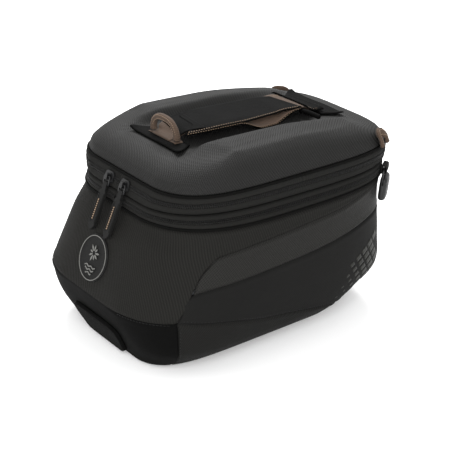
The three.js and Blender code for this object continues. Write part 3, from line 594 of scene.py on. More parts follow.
def webbing(name, colour, rib=1.5):
    """Ribbed strap: ribs across, fine yarn along, and its colour darker down in the grooves."""
    n = Nodes(name)
    yarn = n.total((n.wave(n.place(turn=90), rib * 0.9), 0.4), (n.wave(n.place(), rib), 0.6))
    where = n.place(None)
    worn = n.noise(where, 0.12, 5, 0.65)
    speck = n.noise(where, 2.2, 2)
    tone = n.total((yarn, 0.45), (worn, 0.3), (speck, 0.3))
    return n.finish(n.mix(tone, shade(colour, 0.55), shade(colour, 1.4)), n.total((worn, 0.1), base=0.8),
                    n.bump(yarn, 0.9, 0.3, n.bump(speck, 0.3, 0.2)), 0.05, specular=0.15)


def moulded(name, colour, rough=0.45, grain=0.9, worn_tint=1.7, metallic=0.0, depth=0.08, specular=0.3):
    """Moulded plastic, rubber or plated metal with a fine grain and lighter, smoother wear."""
    n = Nodes(name)
    where = n.place(None)
    fine = n.noise(where, grain, 3)
    broad = n.noise(where, 0.08, 4)
    return n.finish(n.mix(n.total((fine, 0.35), (broad, 0.5)), shade(colour, 0.75), shade(colour, worn_tint)),
                    n.total((broad, 0.2), (fine, 0.1), base=rough - 0.12), n.bump(fine, 0.5, depth),
                    metallic=metallic, specular=specular)


def thread(name, colour):
    n = Nodes(name)
    twist = n.wave(n.place(None, 45), 0.5)
    tone = n.total((twist, 0.5), (n.noise(n.place(None), 1.2, 2), 0.5))
    return n.finish(n.mix(tone, shade(colour, 0.6), shade(colour, 1.35)), 0.7, n.bump(twist, 0.6, 0.1), 0.05,
                    specular=0.2)


BLACK = (0.0068, 0.0066, 0.006)
body_cloth = woven("body_cloth", BLACK, -28, 2.3, 0.85)
side_cloth = woven("side_cloth", (0.0058, 0.0057, 0.0053), 38, 2.1, 0.8)
smooth_cloth = woven("smooth_cloth", (0.0062, 0.0061, 0.0058), 40, 1.7, 0.35, rough=0.74, depth=0.12)
# Painted shade: the rider's lower panel gets a copy of the smooth cloth about 2.4 times darker than on the
# sides, standing in for the shade on that end.
shaded_rear_cloth = woven("shaded_rear_cloth", (0.0026, 0.0026, 0.0025), 35, 1.5, 0.3, rough=0.8, depth=0.1, specular=0.045)
flash_cloth = woven("flash_cloth", (0.0076, 0.0074, 0.0068), 45, 2.0, 0.95, rough=0.66, specular=0.1,
                    cross=1.0)
lid_cloth = woven("lid_cloth", (0.0084, 0.0083, 0.008), 45, 1.9, 0.75, rough=0.64, specular=0.1, depth=0.36,
                  in_space=True)
trim_cloth = woven("trim_cloth", (0.0022, 0.0022, 0.002), 0, 1.1, 0.5, rough=0.85, depth=0.15, specular=0.05)
tape_cloth = woven("tape_cloth", (0.0068, 0.0067, 0.0062), 0, 1.25, 0.85, rough=0.8, depth=0.3)
sleeve_cloth = woven("sleeve_cloth", (0.0016, 0.0016, 0.0015), 20, 1.3, 0.3, rough=0.76, depth=0.12,
                     specular=0.035)
lining_cloth = woven("lining_cloth", (0.10, 0.105, 0.11), 0, 0.9, 0.35, rough=0.7)
mesh_cloth = woven("mesh_cloth", (0.02, 0.021, 0.023), 45, 1.8, 0.95, rough=0.8, depth=0.5, cross=1.0)
beige_webbing = webbing("beige_webbing", (0.058, 0.039, 0.028))
beige_lining = webbing("beige_lining", (0.125, 0.085, 0.062), rib=1.2)
beige_thread = thread("beige_thread", (0.24, 0.17, 0.115))
black_thread = thread("black_thread", (0.003, 0.003, 0.003))
black_plastic = moulded("black_plastic", (0.004, 0.004, 0.0043), 0.42)
pull_rubber = moulded("pull_rubber", (0.0042, 0.0042, 0.004), 0.65, grain=1.6, depth=0.15, specular=0.15)
coil_plastic = moulded("coil_plastic", (0.0048, 0.0047, 0.0044), 0.5, specular=0.2)
board_plastic = moulded("board_plastic", (0.03, 0.03, 0.032), 0.6)
screw_steel = moulded("screw_steel", (0.55, 0.55, 0.56), 0.35, metallic=1.0, worn_tint=1.2, specular=0.5)
badge_rubber = moulded("badge_rubber", (0.004, 0.004, 0.0038), 0.6, grain=1.4, specular=0.12)
pale_print = moulded("pale_print", (0.105, 0.105, 0.097), 0.6, grain=1.5, worn_tint=1.35)
dot_print = moulded("dot_print", (0.0095, 0.0097, 0.0076), 0.5, grain=1.8, worn_tint=1.6, specular=0.12)


# ---------- the sewn body ----------

EDGE = (0.5, 1.1, 1.9, 3.0)


def body_normal(degrees, level):
    along = body(degrees + 0.25, level) - body(degrees - 0.25, level)
    rise = body(degrees, level + 0.4) - body(degrees, level - 0.4)
    return unit_rows(np.cross(along, rise))


def spread_rows(low, high, step):
    """Levels from low to high for each column, close together near both seams."""
    span = high - low
    squeeze = np.minimum(1, span / (2 * EDGE[-1] + 2))[:, None]
    near = np.array([0, *EDGE])[None] * squeeze
    count = max(2, int(round(span.max() / step)))
    middle = near[:, -1:] + np.linspace(0, 1, count + 1)[None, 1:-1] * (span[:, None] - 2 * near[:, -1:])
    return low[:, None] + np.concatenate([near, middle, span[:, None] - near[:, ::-1]], 1)


def seam_profile(distance):
    return -1.25 * bell(distance, 1.4) + 0.35 * bell(distance - 3.2, 1.6)


def seam_share(degrees, level):
    """The rider's end has hardly a groove along its middle; the seam shows towards the corners."""
    x, y, z = np.moveaxis(body(degrees, level), -1, 0)
    return 1 - 0.75 * (1 - smooth(np.abs(x), 30, 62)) * bell(z - REAR_SEAM, 9) * (y < -120)


def skin_point(degrees, level):
    """The bulging skin, away from its seams."""
    degrees, level = np.broadcast_arrays(np.asarray(degrees, float), np.asarray(level, float))
    return body(degrees, level) + body_normal(degrees, level) * bulge(degrees, level)[..., None]


def cut_slot(piece, low, high):
    """Cuts a box, in millimetres, out of a closed piece."""
    x, y, z = zip(low, high)
    corners = [(x[i], y[j], z[k]) for i in (0, 1) for j in (0, 1) for k in (0, 1)]
    faces = [(0, 1, 3, 2), (4, 6, 7, 5), (0, 4, 5, 1), (2, 3, 7, 6), (0, 2, 6, 4), (1, 5, 7, 3)]
    mesh = bpy.data.meshes.new("cutter")
    mesh.from_pydata(to_frame(corners).tolist(), [], faces)
    cutter = add_object("cutter", mesh)
    cut = piece.modifiers.new("slot", "BOOLEAN")
    cut.object, cut.operation, cut.solver = cutter, "DIFFERENCE", "EXACT"
    result = bpy.data.meshes.new_from_object(piece.evaluated_get(bpy.context.evaluated_depsgraph_get()))
    piece.modifiers.remove(cut)
    piece.data = result
    bpy.data.objects.remove(cutter)
    bpy.data.meshes.remove(mesh)


def panel(name, material, slot, extra=None):
    start, end, low_at, high_at = PANELS[name]
    columns = angles(start, end, 3.0, edge=EDGE)
    low = level_at(columns, low_at)
    high = np.maximum(level_at(columns, high_at), low + 0.8)
    level = spread_rows(low, high, 3.0)
    degrees = np.repeat(columns[:, None], level.shape[1], 1)
    arc = arc_of(degrees)
    distance = np.minimum.reduce([level - low[:, None], high[:, None] - level, arc - arc_of(start),
                                  arc_of(end) - arc])
    rise = bulge(degrees, level) + seam_profile(distance) * seam_share(degrees, level)
    if extra:
        rise = rise + extra(degrees, level)
    outer = body(degrees, level) + body_normal(degrees, level) * rise[..., None]
    points, faces = shell(outer, body(degrees, level, WALL))
    piece = add_mesh(f"{name}_cloth", points, faces, "case", material, [name], slot, weave_grid(arc, level))
    return piece


def no_bulge_behind_pulls(degrees, level):
    """Keeps the skin flat where the zip pulls lie and where the badge is sewn on."""
    x, y, z = np.moveaxis(body(degrees, level), -1, 0)
    rear = 1 - smooth(y, -120, -100)
    near = np.maximum(smooth(z, 96, 104) * (1 - smooth(np.abs(x), 42, 56)),
                      1 - smooth(np.hypot(x, z - 90), 24, 31))
    return -bulge(degrees, level) * near * rear


def flat_under_tongue(degrees, level):
    x = body(degrees, level)[..., 0]
    return -bulge(degrees, level) * (1 - smooth(np.abs(x), 18, 27)) * (1 - smooth(level, 36, 44))


panel("rider_wrap_panel", body_cloth, "textured_fabric", no_bulge_behind_pulls)
lower_piece = panel("rider_lower_panel", shaded_rear_cloth, "smooth_fabric", flat_under_tongue)
cut_slot(lower_piece, (-12, -165, 5.2), (12, -135, 10.4))    # the release bar runs through here
panel("front_panel", body_cloth, "textured_fabric")
for side in ("right", "left"):
    panel(f"side_flash_{side}", flash_cloth, "flash_fabric")
    panel(f"side_panel_{side}", smooth_cloth, "smooth_fabric")
    panel(f"lower_side_{side}", side_cloth, "textured_fabric")


def sewn_line(degrees, level):
    return stitches(skin_point(degrees, level), body_normal(degrees, level), 3.2)


def seam_line(start, end, height, lift):
    """Stitches from one angle to another, lift above the seam at height(y)."""
    seam_angles = angles(start, end, 2.0)
    return sewn_line(seam_angles, level_at(seam_angles, height) + lift)


add_mesh("seam_stitches", *merge([
    seam_line(-180 - CORNER + 2, -104, flat(REAR_SEAM), -0.9),
    seam_line(-76, CORNER - 2, flat(REAR_SEAM), -0.9),
    *(sewn_line(turn, np.linspace(8, 56, 30)) for turn in (CORNER + 1.3, -180 - CORNER - 1.3)),
    seam_line(CORNER + 2, SIDE_END - 1, lower_seam, 2.6),
    seam_line(180 - SIDE_END + 1, 180 - CORNER - 2, lower_seam, 2.6)]),
    "case", black_thread, slot="trim_binding")


# ---------- zips and piping ----------

RING_STEP = 2.4
RING = all_round(RING_STEP)
FRONT_CORNER = 66
HINGE_SPAN = angles(FRONT_CORNER, 180 - FRONT_CORNER, RING_STEP, edge=(0.6, 1.4))
ZIP_SPAN = angles(180 - FRONT_CORNER - 360 + 1, FRONT_CORNER - 1, RING_STEP, edge=(0.6, 1.4))


def near_sliders(degrees, main=True):
    """1 where a slider runs, 0 away from it."""
    x, y, _ = np.moveaxis(body(degrees, MAIN_ZIP if main else EXPANSION_ZIP), -1, 0)
    if main:
        return (1 - smooth(np.abs(x), 44, 54)) * (y < -100)
    return (1 - smooth(np.abs(y - 18), 46, 58)) * (x < 0)


def band(name, stations, thickness, body_name, material, node, slot, columns=RING, main=True, extra_parts=()):
    """Strip of cloth along the wall. stations are [level, outward] pairs from its bottom to its top."""
    level, out = (np.array(c, float)[None] for c in zip(*stations))
    tame = near_sliders(columns, main)[:, None]
    out = np.where(out > 0.35, out * (1 - tame) + np.minimum(out, 0.35) * tame, out)
    degrees = columns[:, None]
    outer, inner = body(degrees, level, -out), body(degrees, level, thickness - 0 * out)
    wall = shell(outer, inner, columns is RING)
    points, faces = merge([wall, *extra_parts])
    coords = np.zeros((len(points), 2))
    coords[:len(wall[0])] = np.tile(weave_grid(arc_of(degrees), level), (2, 1))
    return add_mesh(name, points, faces, body_name, material, [node], slot, coords)


TOOTH = np.array([(-0.62, 0), (-0.5, 0.55), (-0.2, 0.85), (0.2, 0.85), (0.5, 0.55), (0.62, 0)])
TOOTH_PITCH = 2.0


def zip_teeth(columns, low, high, half_step, out, main):
    """Moulded teeth on the chain between two levels, sunk where the sliders run."""
    path = body(columns, (low + high) / 2, -out + (out - 0.45) * near_sliders(columns, main))
    run = lengths(path)
    rise = np.array([0, 0, 1.0])
    half, k = (high - low) / 2, len(TOOTH)
    faces = [tuple(range(k)), tuple(range(2 * k - 1, k - 1, -1))]
    faces += [(i, i + k, (i + 1) % k + k, (i + 1) % k) for i in range(k)]
    parts = []
    for n in range(int(run[-1] / TOOTH_PITCH)):
        s = (n + 0.5 * half_step + 0.25) * TOOTH_PITCH
        here, ahead = along_path(path, run, s), along_path(path, run, s + 0.5)
        along = (ahead - here) / max(np.linalg.norm(ahead - here), 1e-6)
        ring = here + along * TOOTH[:, :1] + np.cross(along, rise) * (TOOTH[:, 1:] - 0.45)
        parts.append((np.concatenate([ring - rise * half, ring + rise * half]), faces))
    return parts


def piping(node, level, out, radius, body_name):
    points, faces = tube(body(RING, level, -out), ellipse(radius, radius, 12), closed=True)
    around = np.linspace(0, 2 * math.pi * radius, 12, endpoint=False)
    add_mesh(f"{node}_cord", points, faces, body_name, trim_cloth, [node], "trim_binding",
             weave_grid(arc_of(RING)[:, None], around[None]))


def tape(node, body_name, stations, main=True):
    band(f"{node}_cloth", stations, 1.9, body_name, tape_cloth, node, "zip_tape", main=main)


def chain(half, body_name, core, teeth, half_step):
    """One half of a zip: the core of its chain and its teeth, each between two levels."""
    main = half.startswith("main")
    out, thickness, reach, columns = (0.1, 2.6, 1.25, ZIP_SPAN) if main else (-0.4, 2.2, 0.8, RING)
    band(f"{half}_teeth", [(level, out) for level in core], thickness, body_name, coil_plastic,
         f"{half}_chain", "zip_chain", columns, main, zip_teeth(columns, *teeth, half_step, reach, main))


piping("lower_piping", LOWER_PIPING, 0.5, 1.25, "case")
piping("upper_piping", LID_LINE, 0.4, 1.25, "lid")
tape("expansion_lower_tape", "case", [(137.2, -0.9), (137.7, 0.3), (138.5, 0.8), (139.8, 1.0), (140.9, 0.9),
                                      (141.4, 0.2), (141.6, -0.6)], False)
tape("expansion_upper_tape", "case", [(144.0, -0.6), (144.2, 0.2), (144.7, 0.9), (145.8, 1.0), (147.0, 0.8),
                                      (147.8, 0.3), (148.3, -1.1)], False)
chain("expansion_lower", "case", (141.1, 142.5), (141.5, 142.8), 0)
chain("expansion_upper", "case", (143.1, 144.5), (142.8, 144.1), 1)
band("middle_binding_cloth", [(147.9, -1.4), (148.5, -1.0), (149.3, -1.0), (149.9, -1.4)], 3.2, "case",
     trim_cloth, "middle_binding", "trim_binding")
gusset = band("expansion_gusset_cloth", [(133.2, -4.4), (135.4, -4.8), (138.5, -4.6), (141.5, -5.4),
                                         (144.5, -4.6), (147.4, -4.9), (149.7, -3.6)],
              np.array([[5.4, 5.8, 6.2, 6.4, 6.2, 5.9, 4.6]]), "case", side_cloth, "expansion_gusset",
              "textured_fabric")
tape("main_lower_tape", "case", [(149.5, -1.3), (149.9, 0.1), (150.6, 1.0), (151.8, 1.5), (153.6, 1.6),
                                 (155.2, 1.4), (156.0, 0.8), (156.4, -0.4)])
chain("main_lower", "case", (155.8, 157.6), (156.3, MAIN_ZIP), 0)
chain("main_upper", "lid", (158.4, 160.2), (MAIN_ZIP, 159.7), 1)
tape("main_upper_tape", "lid", [(159.6, -0.4), (160.0, 0.8), (160.9, 1.4), (162.4, 1.6), (164.0, 1.4),
                                (165.0, 0.8), (165.6, -0.1), (166.0, -1.0)])
HINGE_LEVELS = np.linspace(155.6, 160.5, 9)
hinge_stations = [(z, 0.9 + 0.3 * math.sin((z - HINGE_LEVELS[0]) * 0.7)) for z in HINGE_LEVELS]
strip = band("hinge_strip_cloth", hinge_stations, 1.2, None, body_cloth, "hinge_strip", "textured_fabric",
             HINGE_SPAN)
hinge_y = float(body(AHEAD, MAIN_ZIP)[1] + SHIFT)
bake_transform(strip)


# ---------- lid ----------

def crest_drop(y):
    return 6.5 * (smooth(y, 0, 92) + 1 - smooth(y, -104, -55)) + 7.0 * smooth(y, 78, 110)


def lid_point(degrees, level, inset=0.0):
    degrees, level = np.broadcast_arrays(np.asarray(degrees, float), np.asarray(level, float))
    x, y = outline_xy(degrees, level, inset)
    share = np.clip((level - LID_LINE) / (CREST - LID_LINE), 0, 1)
    return np.stack([x, y, level - crest_drop(y) * share ** 2], -1)


def top_height(x, y, edge):
    """Height of the lid's top. edge is the distance in from the crest."""
    crest = CREST - crest_drop(y) + 3.0 * smooth(edge, 0, 22)
    side = smooth(np.abs(x) + 2.2 * bell(y + 84, 16), 39.5, 51)
    floor = 188 + 0.5 * bell(x, 30) * bell(y + 10, 60) - 6.5 * smooth(y, 93, 114)
    fold_x, fold_y = np.abs(x) - 42, y + 94
    share = np.clip((fold_x * 30 + fold_y * 20) / 1300, 0, 1)
    fold = np.hypot(fold_x - 30 * share, fold_y - 20 * share)
    return floor + (crest - floor) * side - 2.2 * bell(fold, 7.5) + 0.7 * bell(fold - 14, 5) * side


LID_THICKNESS = 4.0
LID_COLUMNS = all_round(3.4)
FLANK = np.array([167.6, 168.2, 169.5, 171.5, 174, 176.5, 179, 181.5, 184, 186.5, 189, 191.5, 193.5, 195.5])
TOP_SHARES = np.concatenate([[0.985, 0.965], np.linspace(0.94, 0.06, 36)])


def lid_surface(inset=0.0):
    flank = lid_point(LID_COLUMNS[:, None], FLANK[None], inset)
    if inset:
        flank[..., 2] -= smooth(FLANK, 170, CREST)[None] * 3.0
        flank[:, 0, 2] = FLANK[0]
    crest = lid_point(LID_COLUMNS, CREST)
    centre = np.array([0.0, -5.0])
    rim = crest[:, :2] - centre
    xy = centre + rim[:, None] * TOP_SHARES[None, :, None] * (1 - 0.04 * (inset > 0))
    edge = np.linalg.norm(rim, axis=-1)[:, None] * (1 - TOP_SHARES[None]) * 0.85
    z = top_height(xy[..., 0], xy[..., 1], edge) - (LID_THICKNESS if inset else 0)
    surface = np.concatenate([flank, np.concatenate([xy, z[..., None]], -1)], 1)
    turn = len(FLANK)
    rounded = (1 - smooth(crest[:, 1], -96, -62))[:, None, None]
    for reach, passes, share in ((1, 1, 1.0), (8, 14, rounded)):
        rows = surface[:, turn - reach - 1:turn + reach + 2]
        for _ in range(passes):
            rows[:, 1:-1] += ((rows[:, :-2] + 2 * rows[:, 1:-1] + rows[:, 2:]) / 4 - rows[:, 1:-1]) * share
    return surface


def cup(name, outer, inner, body_name, material, node, slot, coords=None, hollow=True):
    """Closed wall between two grids round a small hole, which it closes. hollow faces it inwards."""
    columns, rows = outer.shape[:2]
    count = columns * rows
    faces = grid_faces(columns, rows, True, 0, hollow) + grid_faces(columns, rows, True, count, not hollow)
    for i in range(columns):
        k = (i + 1) % columns
        rim = (i * rows, count + i * rows, count + k * rows, k * rows)
        faces.append(rim[:1] + rim[:0:-1] if hollow else rim)
    end = tuple(i * rows + rows - 1 for i in range(columns))
    far_end = tuple(count + v for v in end)
    faces += [end[::-1], far_end] if hollow else [end, far_end[::-1]]
    points = np.concatenate([outer.reshape(-1, 3), inner.reshape(-1, 3)])
    return add_mesh(name, points, faces, body_name, material, [node], slot, coords)


lid_outer, lid_inner = lid_surface(), lid_surface(LID_THICKNESS)
lid_outer[:, 0] -= ring_normals(lid_outer)[:, 0] * 0.9
lid_piece = cup("lid_shell_cloth", lid_outer, lid_inner, "lid", lid_cloth, "lid_shell", "lid_fabric",
                hollow=False)


# ---------- handle ----------

PATCH_LENGTH, PATCH_BED = 19.5, 189.25


def patch(node, front):
    """Sewn patch under an end of the handle: a flap with clipped corners, pressed down round its edge."""
    across, along = np.linspace(-1, 1, 41), np.linspace(0, 1, 17)
    half = np.interp(along, [0, 0.14, 0.2, 1], [40.2, 40.6, 40.2, 29.5])
    x, y = np.broadcast_arrays(across[:, None] * half[None], along * PATCH_LENGTH)
    edge = np.minimum.reduce([half[None] - np.abs(x), y, PATCH_LENGTH - y])
    wave = 0.35 * np.sin(x / 9) * bell(y - 2, 8)
    bed = PATCH_BED + 1.9 * smooth(np.abs(x), 33, 42)
    top = bed + 1.75 - 0.9 * bell(edge, 0.8) - 0.45 * bell(edge - 2.6, 0.5) + wave
    place_y = 91.5 - y if front else y - 96.5
    outer, inner = np.stack([x, place_y, top], -1), np.stack([x, place_y, bed - 0.2], -1)
    parts = [shell(outer[::-1], inner[::-1]) if front else shell(outer, inner)]
    if front:
        roll = spline([(22, 54, 194.6), (28, 56, 194.6), (34, 58.5, 193.6), (41, 61.5, 191.8)], 24)
        parts.append(tube(roll, ellipse(2.6, 2.3, 14)))
    points, faces = merge(parts)
    piece = add_mesh(f"{node}_cloth", points, faces, "lid", sleeve_cloth, [node], "trim_binding",
                     points[:, :2])


patch("patch_rider", False)
patch("patch_front", True)

WEB_THICKNESS = 1.6
web_path = spline([(1, -89.5, 192.0), (1, -85, 192.6), (1, -80, 194.6), (0, -74, 197.8), (0, -64, 198.9),
                   (0, -40, 198.9), (0, 0, 198.7), (0.6, 36, 198.7), (1, 47, 198.6), (1, 55, 198.2),
                   (1, 60, 196.0), (1, 66, 193.0), (1, 71.5, 192.2)], 96)
web_half = np.interp(web_path[:, 1], [-90, -84, -72, -62, 34, 46, 55, 60, 71.5],
                     [13.5, 13.8, 18.5, 19.6, 19.6, 22.6, 22.6, 19.5, 19.5])
web_section = np.stack([ellipse(half, WEB_THICKNESS / 2, 30, 7) for half in web_half])
web = add_mesh("handle_webbing_strap", *tube(web_path, web_section), "lid", beige_webbing, ["handle_webbing"],
               "beige_webbing", weave_grid(lengths(web_path)[:, None], web_section[..., 0]))

SLEEVE_NEAR = curve([(-27, -33), (-25, -38), (-20, -52), (-14, -59.5), (0, -61), (12, -62.5), (20, -70),
                     (27.5, -78)])
SLEEVE_FAR = curve([(-27, 46), (-21, 46.4), (0, 48.4), (27, 51.5)])
RIGHT_EDGE = curve([(-80, 25.5), (-66, 26.8), (-54, 27.8), (-14, 28.8), (20, 27.4), (34, 25.6), (50, 26)])
LEFT_EDGE = curve([(-80, -26.5), (-35, -26.2), (0, -24), (40, -21.5)])


def sleeve_sheet(height, share_low=0.0, share_high=1.0, rows=60, columns=26):
    """Points of a sheet over the handle's outline; height(x, y, across) gives its level."""
    across = np.linspace(share_low, share_high, columns)
    rough_x = -26 + across * 53
    along = np.linspace(0, 1, rows)
    near, far = SLEEVE_NEAR(rough_x), SLEEVE_FAR(rough_x)
    y = near[:, None] + (far - near)[:, None] * along[None]
    x = LEFT_EDGE(y) + (RIGHT_EDGE(y) - LEFT_EDGE(y)) * across[:, None]
    return np.stack([x, y, height(x, y, across[:, None] + 0 * y)], -1)


def sleeve_top(x, y, across):
    sag = 0.5 * np.sin((y + 60) / 15) * across + 0.7 * smooth(y, 20, 46) * across
    rim = 0.35 * bell(across - 0.975, 0.014) + 0.3 * bell(y - SLEEVE_NEAR(x), 2)
    fold = -3.4 * (1 - np.sqrt(np.clip(1 - (1 - np.clip(across / 0.06, 0, 1)) ** 2, 0, 1)))
    drop = 1.6 * smooth(y, 26, 47)
    return 200.9 + sag + rim + fold - drop - 1.2 * smooth(across, 0.8, 1) * (1 - smooth(y, -20, 10))


def sleeve_under(_, y, across):
    held = 196.9 + 2.3 * smooth(across, 0.72, 1)
    droop = smooth(y, -22, 8) * (1 - smooth(y, 20, 47))
    return held - 9.4 * droop * smooth(across, 0.5, 1) - 0.6 * smooth(y, 20, 47)


def sleeve_part(layer, height, lift, thickness, material, slot, **span):
    outer = (sleeve_sheet(height, **span) + (0, 0, lift)).transpose(1, 0, 2)[::-1]
    points, faces = shell(outer, outer - (0, 0, thickness))
    return add_mesh(f"handle_sleeve_{layer}", points, faces, "lid", material, ["handle_sleeve"], slot,
                    points[:, :2])


top_piece = sleeve_part("top", sleeve_top, 0, 1.1, sleeve_cloth, "trim_binding")
under_piece = sleeve_part("under", sleeve_under, -0.45, 1.0, sleeve_cloth, "trim_binding")
face_piece = sleeve_part("lining", sleeve_under, 0, 0.4, beige_lining, "beige_webbing", share_low=0.03,
                         share_high=0.975)
cover_x, cover_y = np.meshgrid(np.linspace(-1, 1, 40), np.linspace(0, 1, 18), indexing="ij")


def web_height(y):
    return np.interp(y, web_path[:, 1], web_path[:, 2])


def black_cover(name, start, end, half_start, half_end, lean, lift, node):
    """Black layer sewn over the webbing where it leaves the sleeve or ends on its patch."""
    y = start + (end - start) * cover_y + lean * cover_x
    half = half_start + (half_end - half_start) * cover_y
    x = cover_x * half + 1
    border = np.minimum((1 - np.abs(cover_x)) * half, np.minimum(cover_y, 1 - cover_y) * (end - start))
    top = web_height(y) + lift + 0.35 * bell(border - 1.2, 0.8) - 1.5 * smooth(np.abs(x - 1), 22, 25.5)
    points, faces = shell(np.stack([x, y, top], -1), np.stack([x, y, top - 0.9], -1))
    piece = add_mesh(name, points, faces, "lid", sleeve_cloth, [node], "trim_binding", points[:, :2])


black_cover("handle_sleeve_end", -77.8, -54, 17.5, 24, -2.0, 1.9, "handle_sleeve")
black_cover("patch_front_cover", 56.5, 75.5, 25.5, 25.5, 2.4, 2.7, "patch_front")
top_edge = sleeve_sheet(sleeve_top, 0.965, 0.965, columns=1)[0] + (0, 0, 0.05)
under_edge = sleeve_sheet(sleeve_under, 1.0, 1.0, columns=1)[0] - (0, 0, 0.2)
edge_stitches = [stitches(resample(top_edge, 1.0), (0, 0, 1), 2.6, 0.55, 0.26),
                 stitches(resample(under_edge, 1.0) + (0.15, 0, 0), (1, 0, 0.2), 2.6, 0.55, 0.26)]
for x, start, end, lift in ((20.5, 49, 56, 0.85), (-15, 49, 56, 0.85), (24.5, 60, 74, 1.9)):
    y = np.linspace(start, end, 20)
    row = np.stack([0 * y + x, y, web_height(y) + lift], -1)
    edge_stitches.append(stitches(row, (0, 0, 1), 2.2, 0.6, 0.3))
add_mesh("handle_stitches", *merge(edge_stitches), "lid", beige_thread, slot="beige_webbing")

# ---------- loops ----------


def woven_loop(name, path, wide, deep, body_name, node, face_out):
    """Rolled webbing bent into a loop, with two stitched lines along its face."""
    section = ellipse(wide, deep, 18, 2.6)
    flare = np.interp(np.linspace(0, 1, len(path)), [0, 0.08, 0.2, 0.8, 0.92, 1], [1.25, 1.1, 1, 1, 1.1, 1.3])
    points, faces = tube(path, section[None] * flare[:, None, None], hint=face_out)
    around = np.linspace(0, math.pi * (wide + deep), 18, endpoint=False)
    loop = add_mesh(name, points, faces, body_name, beige_webbing, [node], "beige_webbing",
                    weave_grid(lengths(path)[:, None], around[None]))
    _, side, rise = frames_along(path, hint=face_out)
    rise = rise * np.sign(rise @ np.asarray(face_out, float))[:, None]
    face = path + rise * deep * 0.86
    lines = [stitches(face + side * wide * share, rise, 2.1, 0.6, 0.28) for share in (-0.55, 0.55)]
    return [loop, add_mesh(name.replace("webbing", "stitches"), *merge(lines), body_name, beige_thread,
                           slot="beige_webbing")]


rider_arch = spline([(-17.6, -84.5, 193.2), (-17.9, -84.5, 197), (-15.6, -84.5, 203), (-9, -84.5, 207.4),
                     (1, -84.5, 208.6), (11, -84.5, 207.2), (17.2, -84.5, 202.6), (19.6, -84.5, 197),
                     (19.4, -84.5, 193.2)], 60)
for piece in woven_loop("rider_loop_webbing", rider_arch, 3.0, 2.4, None, "rider_loop", (0, -1, 0)):
    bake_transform(piece)
base_x, base_y = np.meshgrid(np.linspace(-21, 23, 34), np.linspace(-88.5, -80, 10), indexing="ij")
base_top = 191.9 + 0.25 * np.sin(base_x / 2.5) - 0.6 * smooth(np.abs(base_x - 1), 20, 22)
points, faces = shell(np.stack([base_x, base_y, base_top], -1),
                      np.stack([base_x, base_y, base_top - 1.0], -1))
add_mesh("rider_loop_base_webbing", points, faces, "lid", beige_webbing, ["rider_loop_base"], "beige_webbing",
         points[:, :2])

for side, mirror in (("right", 1), ("left", -1)):
    u = np.array([-1, -0.98, -0.64, 0, 0.64, 0.98, 1])
    v = np.array([0.02, 0.43, 0.85, 1, 0.85, 0.43, 0.02])
    arch = lid_point(42 + u * 6, LID_LINE + 1.9 + (183.6 - LID_LINE - 1.9) * v, -3.5)
    foot = arch[[0, -1]] - (0, 0, 0.6)
    arch = spline(np.concatenate([foot[:1], arch[1:-1], foot[1:]]) * (mirror, 1, 1), 50)
    woven_loop(f"front_loop_{side}_webbing", arch, 4.2, 1.9, f"front_loop_{side}", f"front_loop_{side}",
               (mirror * 0.62, 0.78, 0))

# ---------- badge, tongue and buckle tabs ----------

ACROSS = np.array([1.0, 0, 0])
BADGE_LEVEL = 90.0
badge_up = unit(body(REAR, BADGE_LEVEL + 20) - body(REAR, BADGE_LEVEL - 20))
badge_out = unit((0, -badge_up[2], badge_up[1]))
badge_face = body(REAR, BADGE_LEVEL) + badge_out * 2.15


def on_badge(x, y, lift=0.0):
    x, y = np.broadcast_arrays(np.asarray(x, float), np.asarray(y, float))
    return badge_face + ACROSS * x[..., None] + badge_up * y[..., None] + badge_out * lift


def raised_shape(outline, height=0.3):
    """Flat raised shape on the badge from an anticlockwise outline of [x, y]."""
    x, y = np.array(outline, float).T
    k = len(x)
    centre = np.array([x.mean(), y.mean()])
    inner_x, inner_y = centre[0] + (x - centre[0]) * 0.86, centre[1] + (y - centre[1]) * 0.86
    points = np.concatenate([on_badge(x, y, -0.1), on_badge(x, y, height * 0.6),
                             on_badge(inner_x, inner_y, height)])
    faces = [tuple(range(2 * k, 3 * k))]
    for ring in (0, k):
        faces += [(ring + i, ring + (i + 1) % k, ring + k + (i + 1) % k, ring + k + i) for i in range(k)]
    faces.append(tuple(range(k))[::-1])
    return points, faces


def emblem():
    """Plain abstract figure: a wheel of tapering blades over three short waves."""
    parts = []
    for n in range(9):
        turn = 2 * math.pi * n / 9 + 0.2
        reach = (8.6, 6.4, 7.6)[n % 3]
        across = np.array([-math.sin(turn), math.cos(turn)])
        along = np.array([math.cos(turn), math.sin(turn)])
        hub = np.array([0.4, 4.6])
        blade = ((2.2, -0.5), (reach * 0.7, -1.15), (reach, 0), (reach * 0.7, 0.8), (2.2, 0.5))
        parts.append(raised_shape([hub + along * r + across * w for r, w in blade]))
    for row, half in enumerate((8.5, 7.0, 4.6)):
        x = np.linspace(-half, half, 15)
        y = -8.2 - row * 3.1 + 0.7 * np.sin(x * 0.9 + row)
        low, high = np.stack([x, y - 0.55], -1), np.stack([x, y + 0.55], -1)
        for part in (slice(0, 8), slice(7, 15)):
            parts.append(raised_shape(np.concatenate([low[part], high[part][::-1]])))
    return parts


turns = np.linspace(0, 2 * math.pi, 96, endpoint=False)
badge_ring = tube(on_badge(20.4 * np.cos(turns), 20.4 * np.sin(turns)), ellipse(0.42, 0.3, 8), closed=True,
                  hint=badge_out)
add_mesh("badge_print", *merge([badge_ring, *emblem()]), "case", pale_print, slot="badge_rubber",
         smooth_faces=False)


def dome(edge, reach):
    """Quarter round: 0 at an edge, 1 from reach inwards."""
    return np.sqrt(np.clip(1 - (1 - np.clip(edge / reach, 0, 1)) ** 2, 0, 1))


TONGUE_LEVEL, TONGUE_HALF = 19.5, 15.5


